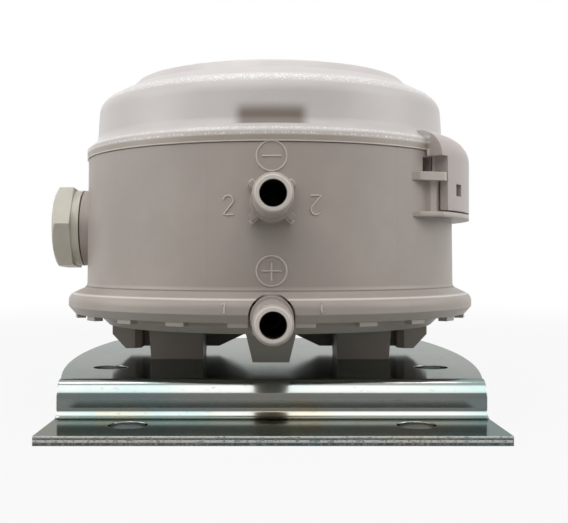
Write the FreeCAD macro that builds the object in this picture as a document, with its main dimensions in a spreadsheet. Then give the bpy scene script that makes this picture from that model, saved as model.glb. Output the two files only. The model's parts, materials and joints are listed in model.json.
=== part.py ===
import FreeCAD, Part
import math
import os
import Sketcher
from types import SimpleNamespace

# Differential pressure switch on a Z-shaped bracket, in millimetres.
# Every piece is drawn about the round housing's own axis, with heights measured from the
# underside of the bracket's foot, and is then set back so that the origin lies midway
# between the two holes of the foot.

# Driving dimensions, one sheet cell each
sizes = {
    # bracket
    "sheet_thickness": 1.5,
    "bracket_width": 73.2,
    "axis_setback": 50.6,
    "foot_front": 9.4,
    "riser_setback": 7.2,
    "plate_underside": 6.2,
    "plate_side_round": 212.0,
    "plate_rear_half": 38.4,
    "plate_rear_back": 37.0,
    "plate_rear_round": 144.0,
    "plate_corner_round": 6.0,
    "bend_radius": 1.6,
    "foot_hole_radius": 3.25,
    "foot_hole_spacing": 46.8,
    "plate_hole_radius": 3.25,
    "plate_hole_spacing": 61.2,
    "plate_hole_front": 23.6,
    # bracket screws
    "screw_spacing": 38.5,
    "screw_front": 3.0,
    "screw_radius": 1.5,
    "screw_reach": 5.5,
    "screw_head_radius": 3.2,
    "screw_head_height": 2.2,
    "screw_head_bevel": 0.9,
    "screw_clearance": 0.1,
    "screw_hole_clearance": 0.3,
    # lower housing
    "leg_height": 7.2,
    "dish_height": 2.8,
    "dish_floor": 1.8,
    "dish_wall": 2.0,
    "dish_bevel": 1.4,
    "rim_clearance": 0.4,
    "rim_width": 4.45,
    "rim_thickness": 2.7,
    "mount_boss_width": 11.5,
    "mount_boss_depth": 14.0,
    "mount_boss_draft": 3.0,
    "foot_gap": 1.3,
    "leg_inner": 28.0,
    "leg_tip": 31.3,
    "leg_outer": 34.2,
    "leg_slope_rise": 3.1,
    "leg_back": 0.8,
    "leg_bevel": 1.3,
    "rib_back": 6.4,
    "rib_thickness": 3.0,
    "arch_half": 11.2,
    "arch_crown_half": 1.5,
    "arch_rise": 4.6,
    "nose_front": 25.0,
    "nose_width": 10.0,
    "nose_depth": 7.0,
    "nose_draft": 13.0,
    "inlet_width": 6.8,
    "stop_radius": 21.0,
    "stop_pillar_radius": 1.6,
    "stop_pillar_count": 6.0,
    "stop_gap": 0.1,
    "embed": 0.5,
    # hose nipples
    "nipple_radius": 3.2,
    "nipple_bore_radius": 2.05,
    "nipple_stand": 22.15,
    "nipple_collar_radius": 3.7,
    "nipple_collar_stand": 5.15,
    "nipple_tip_bevel": 0.5,
    "low_nipple_rise": 3.5,
    "high_nipple_rise": 11.4,
    "passage_radius": 1.2,
    "fin_span": 9.8,
    "fin_width": 1.2,
    "fin_stand": 4.75,
    "fin_angle": 40.0,
    # diaphragm and its plate
    "diaphragm_thickness": 0.6,
    "bead_inset": 1.65,
    "bead_width": 1.7,
    "bead_depth": 0.75,
    "bead_clearance": 0.05,
    "roll_clearance": 0.6,
    "roll_width": 5.0,
    "roll_drop": 2.5,
    "roll_flank": 0.9,
    "plate_gap": 0.2,
    "plate_thickness": 1.3,
    "plate_rib_radius": 23.0,
    "plate_rib_width": 1.4,
    "plate_rib_height": 1.0,
    "spring_boss_height": 2.2,
    "push_pin_radius": 1.5,
    "push_pin_bevel": 0.6,
    # upper housing
    "wall_foot_radius": 38.85,
    "wall_draft": 0.3,
    "wall_thickness": 1.7,
    "wall_height": 22.0,
    "wall_foot_round": 1.2,
    "shoulder_width": 3.8,
    "shoulder_rise": 1.75,
    "skirt_wall": 2.0,
    "skirt_bevel": 1.3,
    "skirt_bevel_height": 1.5,
    "skirt_round": 1.8,
    "chamber_height": 4.5,
    "deck_thickness": 1.5,
    "hook_count": 22.0,
    "hook_width": 3.6,
    "hook_height": 1.05,
    "hook_stand": 0.8,
    "hook_overlap": 0.8,
    "hook_clearance": 0.15,
    "notch_clearance": 0.35,
    "tower_radius": 8.5,
    "tower_wall": 2.0,
    "tower_height": 20.0,
    "duct_width": 8.4,
    "duct_depth": 7.0,
    "duct_cap": 2.2,
    "duct_bore_radius": 1.6,
    "guide_radius": 3.2,
    "guide_height": 4.5,
    "pin_clearance": 0.08,
    "post_width": 5.0,
    # latch on the side away from the cable gland
    "ledge_inset": 0.45,
    "ledge_inner_half": 29.0,
    "ledge_outer_half": 26.8,
    "lower_ledge_rise": 9.35,
    "lower_ledge_thickness": 1.0,
    "upper_ledge_thickness": 1.6,
    "latch_block_height": 5.85,
    "latch_block_stand": 1.65,
    "latch_block_half": 25.2,
    "tongue_angle": 75.0,
    "tongue_side_angle": 1.2,
    "tongue_thickness": 1.6,
    "tongue_clearance": 0.3,
    "canopy_angle": 81.0,
    "canopy_rise": 3.9,
    "canopy_round": 5.1,
    "catch_angle": 39.7,
    "catch_width": 3.0,
    "catch_height": 2.9,
    "window_angle": 30.0,
    "window_width": 3.0,
    "window_rise": 3.2,
    "window_height": 2.3,
    # cover
    "lip_overhang": 0.27,
    "lip_width": 2.2,
    "lip_height": 1.95,
    "lip_round": 0.4,
    "cover_wall": 1.5,
    "cover_foot_rise": 1.85,
    "cover_draft": 0.5,
    "cover_wall_rise": 11.8,
    "cover_slope_width": 6.3,
    "cover_slope_rise": 3.1,
    "cover_crown_step": 1.6,
    "cover_crown_rise": 1.7,
    "cover_dome_rise": 0.3,
    "foot_round": 2.0,
    "shoulder_round": 4.0,
    "crown_round": 1.2,
    "spigot_depth": 1.8,
    "spigot_clearance": 0.25,
    "seat_clearance": 0.1,
    # cable gland
    "gland_rise": 8.1,
    "gland_collar_stand": 0.85,
    "gland_spigot_radius": 6.45,
    "gland_spigot_length": 3.7,
    "seal_pocket_wall": 1.4,
    "seal_step": 1.0,
    "seal_lip": 0.9,
    "seal_length": 4.4,
    "seal_clearance": 0.1,
    "washer_thickness": 0.5,
    "washer_clearance": 0.75,
    "nut_wall": 1.65,
    "nut_corner_angle": 4.0,
    "nut_end_thickness": 1.6,
    "nut_gap": 0.3,
    "nut_bore_clearance": 0.3,
    "nut_end_bevel": 0.25,
    "nut_end_taper": 0.9,
    "nut_skirt_length": 1.6,
    "nut_skirt_step": 0.15,
    "thread_clearance": 0.15,
    # setting mechanism
    "knob_gap": 2.0,
    "knob_height": 8.0,
    "knob_clearance": 0.2,
    "knob_crown": 1.5,
    "knob_stem_radius": 2.9,
    "knob_stem_length": 10.5,
    "knob_slot_length": 15.0,
    "knob_slot_width": 1.6,
    "knob_slot_depth": 1.8,
    "flute_count": 14.0,
    "flute_radius": 1.1,
    "flute_stand": 0.45,
    "setting_nut_depth": 7.0,
    "setting_nut_height": 4.0,
    "setting_nut_clearance": 0.25,
    "stem_clearance": 0.08,
    "key_width": 2.4,
    "key_reach": 7.4,
    "key_clearance": 0.25,
    "spring_mean_radius": 4.9,
    "spring_wire_radius": 0.45,
    "spring_turns": 5.0,
    "spring_clearance": 0.2,
    # switch
    "case_width": 12.2,
    "case_gap": 2.95,
    "case_length": 19.9,
    "case_rise": 16.5,
    "case_height": 12.0,
    "case_round": 0.6,
    "ear_reach": 12.2,
    "ear_rise": 4.5,
    "ear_thickness": 2.5,
    "ear_depth": 5.6,
    "ear_inset": 3.5,
    "ear_screw_offset": 9.4,
    "ear_screw_radius": 1.0,
    "ear_screw_head_radius": 2.0,
    "ear_screw_head_height": 1.4,
    "ear_screw_reach": 6.0,
    "tab_thickness": 0.8,
    "tab_width": 6.3,
    "tab_reach": 8.0,
    "tab_root": 3.0,
    "tab_rise": 2.7,
    "tab_hole_radius": 0.8,
    "tab_inset": 7.6,
    "tab_pitch": 4.3,
    "tab_clearance": 0.05,
    "lever_pivot_inset": 1.7,
    "lever_drop": 1.45,
    "lever_eye_radius": 0.95,
    "lever_pin_radius": 0.55,
    "lever_pin_clearance": 0.05,
    "lever_width": 4.0,
    "lever_thickness": 0.5,
    "lever_arm": 12.2,
    "lever_overhang": 1.4,
    "lug_thickness": 1.3,
    "lug_clearance": 0.25,
    "lug_drop": 2.5,
    "lug_depth": 3.4,
    "plunger_radius": 1.2,
    "plunger_arm": 8.2,
    "plunger_length": 2.4,
    "plunger_bevel": 0.5,
    "plunger_clearance": 0.06,
    "plunger_travel": 1.0,
    "contact_gap": 0.1,
}

doc = FreeCAD.newDocument("PressureSwitch")
sheet = doc.addObject("Spreadsheet::Sheet", "Sizes")
for row, (alias, number) in enumerate(sizes.items(), start=1):
    sheet.set(f"A{row}", alias)
    sheet.set(f"B{row}", str(number))
    sheet.setAlias(f"B{row}", alias)
doc.recompute()


class Dim:
    # A size that carries its number together with the sheet expression it comes from
    def __init__(self, value, text):
        self.value = value
        self.text = text

    def combine(self, other, sign, result):
        return Dim(result, f"({self.text} {sign} {other.text})")

    def __add__(self, other):
        other = dim(other)
        return self.combine(other, "+", self.value + other.value)

    def __sub__(self, other):
        other = dim(other)
        return self.combine(other, "-", self.value - other.value)

    def __mul__(self, other):
        other = dim(other)
        return self.combine(other, "*", self.value * other.value)

    def __truediv__(self, other):
        other = dim(other)
        return self.combine(other, "/", self.value / other.value)

    def __neg__(self):
        return Dim(-self.value, f"(-1 * {self.text})")

    def __radd__(self, other):
        return dim(other) + self

    def __rsub__(self, other):
        return dim(other) - self

    def __rmul__(self, other):
        return dim(other) * self


def dim(number):
    if isinstance(number, Dim):
        return number
    return Dim(float(number), repr(float(number)))


s = SimpleNamespace(**{alias: Dim(number, f"Sizes.{alias}") for alias, number in sizes.items()})

# Radii, worked out from the wall of the upper housing
s.wall_head_radius = s.wall_foot_radius - s.wall_draft
s.wall_inner_radius = s.wall_head_radius - s.wall_thickness
s.skirt_radius = s.wall_foot_radius + s.shoulder_width
skirt_inner = s.skirt_radius - s.skirt_wall
s.rim_radius = skirt_inner - s.rim_clearance
s.dish_radius = s.rim_radius - s.rim_width
dish_inner = s.dish_radius - s.dish_wall
s.bead_radius = s.rim_radius - s.bead_inset
roll_outer = dish_inner - s.roll_clearance
roll_inner = roll_outer - s.roll_width
s.plate_radius = roll_inner - s.plate_gap
s.tower_bore_radius = s.tower_radius - s.tower_wall
setting_nut_radius = s.tower_bore_radius - s.setting_nut_clearance
s.ledge_radius = s.skirt_radius - s.ledge_inset
s.latch_block_radius = s.wall_head_radius + s.latch_block_stand
tongue_outer = s.ledge_radius
tongue_inner = s.ledge_radius - s.tongue_thickness
s.lip_radius = s.wall_head_radius + s.lip_overhang
s.cover_foot_radius = s.lip_radius - s.lip_width
s.cover_shoulder_radius = s.cover_foot_radius - s.cover_draft
s.cover_slope_radius = s.cover_shoulder_radius - s.cover_slope_width
s.cover_crown_radius = s.cover_slope_radius - s.cover_crown_step
nut_inner_radius = s.gland_spigot_radius + s.thread_clearance
nut_flat_radius = nut_inner_radius + s.nut_wall
nut_skirt_radius = nut_flat_radius - s.nut_skirt_step
s.gland_collar_radius = nut_skirt_radius
s.seal_pocket_radius = s.gland_spigot_radius - s.seal_pocket_wall
s.gland_bore_radius = s.seal_pocket_radius - s.seal_step
s.seal_bore_radius = s.gland_bore_radius - s.seal_lip
s.nut_bore_radius = s.seal_bore_radius + s.nut_bore_clearance
s.washer_radius = nut_inner_radius - s.washer_clearance

# Heights, stacked from the bracket's plate up
plate_top = s.plate_underside + s.sheet_thickness
s.dish_underside = plate_top + s.leg_height
chamber_floor = s.dish_underside + s.dish_floor
s.low_nipple_height = s.dish_underside + s.low_nipple_rise
s.rim_underside = s.dish_underside + s.dish_height
s.clamp_height = s.rim_underside + s.rim_thickness
seat_height = s.clamp_height + s.diaphragm_thickness
s.hook_bottom = s.rim_underside - s.hook_clearance - s.hook_height
s.skirt_bottom = s.hook_bottom + s.hook_stand
s.shoulder_top = seat_height + s.shoulder_rise
plate_upper = seat_height + s.plate_thickness
s.deck_underside = seat_height + s.chamber_height
deck_top = s.deck_underside + s.deck_thickness
s.gland_height = deck_top + s.gland_rise
s.high_nipple_height = deck_top + s.high_nipple_rise
s.duct_top = s.high_nipple_height + s.duct_cap
s.wall_top = deck_top + s.wall_height
s.tower_top = deck_top + s.tower_height
s.setting_nut_bottom = s.tower_top - s.setting_nut_depth
s.lower_ledge_bottom = deck_top + s.lower_ledge_rise
lower_ledge_top = s.lower_ledge_bottom + s.lower_ledge_thickness
s.upper_ledge_bottom = lower_ledge_top + s.latch_block_height
upper_ledge_top = s.upper_ledge_bottom + s.upper_ledge_thickness
tongue_bottom = lower_ledge_top + s.tongue_clearance
s.window_bottom = lower_ledge_top + s.window_rise
cover_seat = s.wall_top + s.seat_clearance
s.cover_shoulder_height = cover_seat + s.cover_wall_rise
s.cover_slope_height = s.cover_shoulder_height + s.cover_slope_rise
s.cover_crown_height = s.cover_slope_height + s.cover_crown_rise
s.cover_top = s.cover_crown_height + s.cover_dome_rise
s.case_bottom = deck_top + s.case_rise
s.ear_bottom = s.case_bottom + s.ear_rise
s.tab_bottom = s.case_bottom + s.tab_rise
s.lever_pivot_height = s.case_bottom - s.lever_drop
lever_bottom = s.lever_pivot_height - s.lever_thickness / 2
lever_top = s.lever_pivot_height + s.lever_thickness / 2

# Reaches from the housing's axis to the front, and to the gland's side
s.nipple_reach = s.wall_foot_radius + s.nipple_stand
s.nipple_collar_reach = s.wall_foot_radius + s.nipple_collar_stand
s.fin_reach = s.wall_foot_radius + s.fin_stand
s.case_front = s.wall_inner_radius - s.case_gap
case_back = s.case_front - s.case_length
s.knob_radius = case_back - s.knob_gap
s.ear_front = case_back + s.ear_inset
s.tab_front = case_back + s.tab_inset
s.lever_pivot_front = s.case_front - s.lever_pivot_inset
s.push_pin_front = s.lever_pivot_front - s.lever_arm
s.lever_end_front = s.push_pin_front - s.lever_overhang
s.plunger_front = s.lever_pivot_front - s.plunger_arm
s.gland_collar_reach = s.wall_foot_radius + s.gland_collar_stand
s.gland_spigot_reach = s.gland_collar_reach + s.gland_spigot_length
nut_mouth_reach = s.gland_collar_reach + s.nut_gap
washer_reach = s.gland_spigot_reach + s.washer_thickness
s.nut_reach = washer_reach + s.nut_end_thickness
nut_skirt_reach = nut_mouth_reach + s.nut_skirt_length
zero = dim(0)
same = 0.01

subparts = []


# Tools for drawing a piece
def bind(thing, path, size):
    thing.setExpression(path, dim(size).text)


def piece(name):
    body = doc.addObject("PartDesign::Body", name)
    body.Label = name
    bind(body, "Placement.Base.y", s.axis_setback)
    subparts.append(body)
    return body


def sketch_on(body, name, role, offset=zero, across=zero, up=zero, turn=None):
    # The XZ plane faces the front, so its offset counts towards the front
    plane = next(item for item in body.Origin.OriginFeatures if item.Role == role)
    sketch = body.newObject("Sketcher::SketchObject", name)
    sketch.AttachmentSupport = [(plane, "")]
    sketch.MapMode = "FlatFace"
    if turn is not None:
        sketch.AttachmentOffset = FreeCAD.Placement(FreeCAD.Vector(), turn)
    bind(sketch, "AttachmentOffset.Base.x", across)
    bind(sketch, "AttachmentOffset.Base.y", up)
    bind(sketch, "AttachmentOffset.Base.z", offset)
    return sketch


def pin_point(sketch, geometry, end, x, y):
    for kind, axis, size in (("DistanceX", -2, dim(x)), ("DistanceY", -1, dim(y))):
        if abs(size.value) < 1e-9:
            sketch.addConstraint(Sketcher.Constraint("PointOnObject", geometry, end, axis))
            continue
        index = sketch.addConstraint(Sketcher.Constraint(kind, -1, 1, geometry, end, size.value))
        bind(sketch, f"Constraints[{index}]", size)


def arc_between(start, end, radius):
    # A positive radius bends to the left of the way from start to end
    chord = end - start
    half = chord.Length / 2
    side = FreeCAD.Vector(-chord.y, chord.x, 0).normalize()
    height = math.sqrt(max(radius * radius - half * half, 0.0))
    centre = (start + end) * 0.5 + side * math.copysign(height, radius)
    first, last = (start, end) if radius > 0 else (end, start)
    angles = [math.atan2(point.y - centre.y, point.x - centre.x) for point in (first, last)]
    circle = Part.Circle(centre, FreeCAD.Vector(0, 0, 1), abs(radius))
    return Part.ArcOfCircle(circle, angles[0], angles[1])


half_circle = "half circle"


def outline(sketch, corners):
    # Corners are (x, y), or (x, y, radius) where an arc leads to the next corner.
    # A corner that ends in half_circle starts half a circle on a level chord.
    count = len(corners)
    spots = [FreeCAD.Vector(dim(corner[0]).value, dim(corner[1]).value, 0) for corner in corners]
    ends = []
    for index, corner in enumerate(corners):
        start, end = spots[index], spots[(index + 1) % count]
        if len(corner) == 2:
            geometry = sketch.addGeometry(Part.LineSegment(start, end))
            ends.append((geometry, 1, 2))
            continue
        half = corner[2] == half_circle
        bend = (end - start).Length / 2 if half else corner[2].value
        geometry = sketch.addGeometry(arc_between(start, end, bend))
        ends.append((geometry, 1, 2) if bend > 0 else (geometry, 2, 1))
    for index, (geometry, first, last) in enumerate(ends):
        following = ends[(index + 1) % count]
        sketch.addConstraint(Sketcher.Constraint("Coincident", geometry, last, following[0], following[1]))
    for (geometry, first, last), corner in zip(ends, corners):
        pin_point(sketch, geometry, first, corner[0], corner[1])
        if len(corner) == 3 and corner[2] == half_circle:
            index = sketch.addConstraint(
                Sketcher.Constraint("DistanceY", -1, 1, geometry, 3, dim(corner[1]).value))
            bind(sketch, f"Constraints[{index}]", corner[1])
        elif len(corner) == 3:
            radius = corner[2] if corner[2].value > 0 else -corner[2]
            index = sketch.addConstraint(Sketcher.Constraint("Radius", geometry, radius.value))
            bind(sketch, f"Constraints[{index}]", radius)
    return sketch


def rectangle(sketch, x_low, x_high, y_low, y_high):
    return outline(sketch, [(x_low, y_low), (x_high, y_low), (x_high, y_high), (x_low, y_high)])


def centred_rectangle(sketch, x, y, width, height):
    return rectangle(sketch, x - width / 2, x + width / 2, y - height / 2, y + height / 2)


def circle(sketch, x, y, radius):
    spot = FreeCAD.Vector(dim(x).value, dim(y).value, 0)
    geometry = sketch.addGeometry(Part.Circle(spot, FreeCAD.Vector(0, 0, 1), radius.value))
    pin_point(sketch, geometry, 3, x, y)
    index = sketch.addConstraint(Sketcher.Constraint("Radius", geometry, radius.value))
    bind(sketch, f"Constraints[{index}]", radius)
    return sketch


def feature(body, kind, name, sketch):
    made = body.newObject(f"PartDesign::{kind}", name)
    made.Profile = sketch
    return made


def pad(body, name, sketch, length, down=False, both=False, taper=None):
    made = feature(body, "Pad", name, sketch)
    bind(made, "Length", length)
    made.Reversed = down
    made.Midplane = both
    if taper is not None:
        bind(made, "TaperAngle", taper)
    doc.recompute()
    return made


def cut(made):
    # A cut that misses the solid leaves the volume as it was
    before = made.BaseFeature.Shape.Volume
    doc.recompute()
    if made.Shape.Volume > before - 1e-6:
        raise RuntimeError(f"{made.Name} cuts nothing")
    return made


def pocket(body, name, sketch, length=None, down=False, both=False):
    made = feature(body, "Pocket", name, sketch)
    if length is None:
        made.Type = "ThroughAll"
    else:
        bind(made, "Length", length)
    made.Reversed = down
    made.Midplane = both
    return cut(made)


def turned(body, name, corners, angle=None, kind="Revolution"):
    sketch = outline(sketch_on(body, name + "_section", "XZ_Plane"), corners)
    made = feature(body, kind, name, sketch)
    made.ReferenceAxis = (sketch, ["V_Axis"])
    if angle is not None:
        bind(made, "Angle", angle)
        made.Midplane = True
    if kind == "Groove":
        return cut(made)
    doc.recompute()
    return made


def pattern(body, name, source, count):
    axis = next(item for item in body.Origin.OriginFeatures if item.Role == "Z_Axis")
    made = body.newObject("PartDesign::PolarPattern", name)
    made.Originals = [source]
    made.Axis = (axis, [""])
    made.Angle = 360
    bind(made, "Occurrences", count)
    body.Tip = made
    doc.recompute()
    return made


def dress(body, name, kind, size, chosen):
    # Rounds or bevels every edge that the test chooses
    base = body.Tip
    edges = [f"Edge{number}" for number, edge in enumerate(base.Shape.Edges, start=1) if chosen(edge)]
    made = body.newObject(f"PartDesign::{kind}", name)
    made.Base = (base, edges)
    bind(made, "Radius" if kind == "Fillet" else "Size", size)
    doc.recompute()
    return made


def ring_at(radius, height):
    def chosen(edge):
        curve = edge.Curve
        if not isinstance(curve, Part.Circle):
            return False
        return abs(curve.Radius - radius.value) < same and abs(curve.Center.z - height.value) < same
    return chosen


def tip_ring(radius, reach):
    def chosen(edge):
        curve = edge.Curve
        if not isinstance(curve, Part.Circle):
            return False
        return abs(curve.Radius - radius.value) < same and abs(curve.Center.y + reach.value) < same
    return chosen


def upright(edge):
    line = isinstance(edge.Curve, Part.Line)
    return line and abs(abs(edge.Curve.Direction.z) - 1) < same


def upright_at(across, back):
    # The upright edges at one place and at its mirror image
    def chosen(edge):
        middle = edge.CenterOfMass
        return upright(edge) and abs(abs(middle.x) - across.value) < same and abs(middle.y - back.value) < same
    return chosen


# Folded sheet bracket: foot, riser, and a plate whose sides bow out under the housing
def make_bracket():
    body = piece("bracket")
    width = s.bracket_width
    foot_front = -s.axis_setback - s.foot_front
    riser_front = s.riser_setback - s.axis_setback
    riser_back = riser_front + s.sheet_thickness
    fold = sketch_on(body, "fold", "YZ_Plane")
    outline(fold, [
        (foot_front, zero),
        (riser_back, zero),
        (riser_back, s.plate_underside),
        (zero, s.plate_underside),
        (zero, plate_top),
        (riser_front, plate_top),
        (riser_front, s.sheet_thickness),
        (foot_front, s.sheet_thickness),
    ])
    pad(body, "folded_sheet", fold, width, both=True)
    bow_start = riser_back + s.bend_radius + s.embed
    bowed = sketch_on(body, "plate_outline", "XY_Plane", s.plate_underside)
    outline(bowed, [
        (-width / 2, bow_start),
        (width / 2, bow_start, s.plate_side_round),
        (s.plate_rear_half, s.plate_rear_back, s.plate_rear_round),
        (-s.plate_rear_half, s.plate_rear_back, s.plate_side_round),
    ])
    pad(body, "bowed_plate", bowed, s.sheet_thickness)
    dress(body, "plate_corners", "Fillet", s.plate_corner_round,
          upright_at(s.plate_rear_half, s.plate_rear_back))

    def bend_edge(places):
        def chosen(edge):
            middle = edge.CenterOfMass
            along = abs(edge.Length - width.value) < same
            return along and any(
                abs(middle.y - y.value) < same and abs(middle.z - z.value) < same for y, z in places
            )
        return chosen

    inner = [(riser_front, s.sheet_thickness), (riser_back, s.plate_underside)]
    outer = [(riser_front, plate_top), (riser_back, zero)]
    dress(body, "inner_bends", "Fillet", s.bend_radius, bend_edge(inner))
    dress(body, "outer_bends", "Fillet", s.bend_radius + s.sheet_thickness, bend_edge(outer))
    holes = sketch_on(body, "hole_places", "XY_Plane")
    for side in (-1, 1):
        circle(holes, s.foot_hole_spacing / 2 * side, -s.axis_setback, s.foot_hole_radius)
        circle(holes, s.plate_hole_spacing / 2 * side, -s.plate_hole_front, s.plate_hole_radius)
        circle(holes, s.screw_spacing / 2 * side, -s.screw_front, s.screw_radius + s.screw_hole_clearance)
    pocket(body, "holes", holes, down=True)


# Two screws that hold the housing's bosses on the plate
def make_bracket_screws():
    body = piece("bracket_screws")
    heads = sketch_on(body, "head_places", "XY_Plane", s.plate_underside - s.screw_head_height)
    shanks = sketch_on(body, "shank_places", "XY_Plane", s.plate_underside)
    for side in (-1, 1):
        circle(heads, s.screw_spacing / 2 * side, -s.screw_front, s.screw_head_radius)
        circle(shanks, s.screw_spacing / 2 * side, -s.screw_front, s.screw_radius)
    pad(body, "heads", heads, s.screw_head_height)
    pad(body, "shanks", shanks, s.sheet_thickness + s.screw_reach)
    rim = ring_at(s.screw_head_radius, s.plate_underside - s.screw_head_height)
    dress(body, "bevelled_heads", "Chamfer", s.screw_head_bevel, rim)


# Lower housing: dish of the high-pressure chamber with its nipple, legs and bosses
def make_lower_housing():
    body = piece("lower_housing")
    turned(body, "dish", [
        (zero, s.dish_underside),
        (s.dish_radius - s.dish_bevel, s.dish_underside),
        (s.dish_radius, s.dish_underside + s.dish_bevel),
        (s.dish_radius, s.rim_underside),
        (s.rim_radius, s.rim_underside),
        (s.rim_radius, s.clamp_height),
        (dish_inner, s.clamp_height),
        (dish_inner, chamber_floor),
        (zero, chamber_floor),
    ])
    root = s.dish_underside + s.dish_floor / 2
    leg_drop = root - plate_top
    bosses = sketch_on(body, "boss_places", "XY_Plane", root)
    for side in (-1, 1):
        boss_x = s.screw_spacing / 2 * side
        centred_rectangle(bosses, boss_x, -s.screw_front, s.mount_boss_width, s.mount_boss_depth)
    nose = sketch_on(body, "nose_place", "XY_Plane", root)
    centred_rectangle(nose, zero, -s.nose_front, s.nose_width, s.nose_depth)
    pad(body, "mount_bosses", bosses, leg_drop, down=True, taper=-s.mount_boss_draft)
    pad(body, "nose", nose, leg_drop - s.foot_gap, down=True, taper=-s.nose_draft)
    add_legs(body, root)
    # The inlet block carries the air from the nipple under the clamped rim
    inlet = sketch_on(body, "inlet_section", "XZ_Plane", dish_inner)
    inlet_bottom = s.low_nipple_height - s.nipple_radius
    rectangle(inlet, -s.inlet_width / 2, s.inlet_width / 2, inlet_bottom, s.clamp_height)
    pad(body, "inlet_block", inlet, s.rim_radius - dish_inner)
    collar_start = s.rim_radius - s.notch_clearance + s.seat_clearance
    collar = sketch_on(body, "low_collar_section", "XZ_Plane", collar_start)
    circle(collar, zero, s.low_nipple_height, s.nipple_collar_radius)
    pad(body, "low_collar", collar, s.nipple_collar_reach - collar_start)
    add_nipple(body, "low", s.low_nipple_height, s.rim_radius)
    passage = sketch_on(body, "passage_section", "XZ_Plane", dish_inner - s.embed)
    circle(passage, zero, chamber_floor + s.passage_radius, s.passage_radius)
    pocket(body, "passage", passage, s.rim_radius - dish_inner + s.embed + s.passage_radius, down=True)
    # Bead groove in the clamped rim, screw holes in the bosses, stops under the diaphragm
    groove_half = s.bead_width / 2 + s.bead_clearance
    turned(body, "bead_groove", [
        (s.bead_radius - groove_half, s.clamp_height - s.bead_depth - s.bead_clearance),
        (s.bead_radius + groove_half, s.clamp_height - s.bead_depth - s.bead_clearance),
        (s.bead_radius + groove_half, s.clamp_height + s.bead_clearance),
        (s.bead_radius - groove_half, s.clamp_height + s.bead_clearance),
    ], kind="Groove")
    holes = sketch_on(body, "screw_places", "XY_Plane", plate_top)
    for side in (-1, 1):
        circle(holes, s.screw_spacing / 2 * side, -s.screw_front, s.screw_radius + s.screw_clearance)
    pocket(body, "screw_holes", holes, s.screw_reach + s.screw_hole_clearance, down=True)
    stop = sketch_on(body, "stop_place", "XY_Plane", chamber_floor)
    circle(stop, s.stop_radius, zero, s.stop_pillar_radius)
    pillar = pad(body, "stop_pillar", stop, s.clamp_height - s.stop_gap - chamber_floor)
    pattern(body, "stop_pillars", pillar, s.stop_pillar_count)


def add_legs(body, root):
    # Two legs with sloped outer sides, joined by an arched rib, that stand clear of the plate
    foot = plate_top + s.foot_gap
    slope_top = foot + s.leg_slope_rise
    arch_top = foot + s.arch_rise
    rib = sketch_on(body, "rib_section", "XZ_Plane", -s.rib_back)
    outline(rib, [
        (-s.leg_tip, foot),
        (-s.arch_half, foot),
        (-s.arch_crown_half, arch_top),
        (s.arch_crown_half, arch_top),
        (s.arch_half, foot),
        (s.leg_tip, foot),
        (s.leg_outer, slope_top),
        (s.leg_outer, root),
        (-s.leg_outer, root),
        (-s.leg_outer, slope_top),
    ])
    pad(body, "arched_rib", rib, s.rib_thickness, down=True)
    legs = sketch_on(body, "leg_section", "XZ_Plane", -s.leg_back)
    for side in (-1, 1):
        outline(legs, [
            (s.leg_inner * side, foot),
            (s.leg_tip * side, foot),
            (s.leg_outer * side, slope_top),
            (s.leg_outer * side, root),
            (s.leg_inner * side, root),
        ])
    pad(body, "legs", legs, s.rib_back + s.embed - s.leg_back, down=True)
    dress(body, "leg_bevels", "Chamfer", s.leg_bevel, upright_at(s.leg_inner, s.leg_back))


def add_nipple(body, name, height, start):
    outer = sketch_on(body, name + "_nipple_section", "XZ_Plane", start)
    circle(outer, zero, height, s.nipple_radius)
    pad(body, name + "_nipple", outer, s.nipple_reach - start)
    dress(body, name + "_nipple_tip", "Chamfer", s.nipple_tip_bevel, tip_ring(s.nipple_radius, s.nipple_reach))
    bore = sketch_on(body, name + "_bore_section", "XZ_Plane", s.nipple_reach)
    circle(bore, zero, height, s.nipple_bore_radius)
    pocket(body, name + "_bore", bore, s.nipple_reach - start)


# Upper housing: skirt, wall, deck and spring tower in one moulding
def make_upper_housing():
    body = piece("upper_housing")
    turned(body, "shell", [
        (s.tower_bore_radius, s.deck_underside),
        (s.wall_inner_radius, s.deck_underside),
        (s.wall_inner_radius, seat_height),
        (skirt_inner, seat_height),
        (skirt_inner, s.skirt_bottom),
        (s.skirt_radius - s.skirt_bevel, s.skirt_bottom),
        (s.skirt_radius, s.skirt_bottom + s.skirt_bevel_height),
        (s.skirt_radius, seat_height),
        (s.wall_foot_radius, s.shoulder_top),
        (s.wall_head_radius, s.wall_top),
        (s.wall_inner_radius, s.wall_top),
        (s.wall_inner_radius, deck_top),
        (s.tower_radius, deck_top),
        (s.tower_radius, s.tower_top),
        (s.tower_bore_radius, s.tower_top),
    ])
    dress(body, "rounded_skirt", "Fillet", s.skirt_round, ring_at(s.skirt_radius, seat_height))
    dress(body, "wall_foot", "Fillet", s.wall_foot_round, ring_at(s.wall_foot_radius, s.shoulder_top))
    add_snap_hooks(body)
    add_latch_ledges(body)
    add_high_pressure_notch(body)
    add_low_pressure_inlet(body)
    add_gland_spigot(body)
    add_switch_posts(body)
    # Two grooves in the tower keep the setting nut from turning
    key_half = s.key_width / 2 + s.key_clearance
    grooves = sketch_on(body, "key_section", "XY_Plane", s.tower_top)
    rectangle(grooves, -s.key_reach - s.key_clearance, s.key_reach + s.key_clearance, -key_half, key_half)
    pocket(body, "key_grooves", grooves, s.tower_top - s.setting_nut_bottom + s.setting_nut_height)


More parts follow.
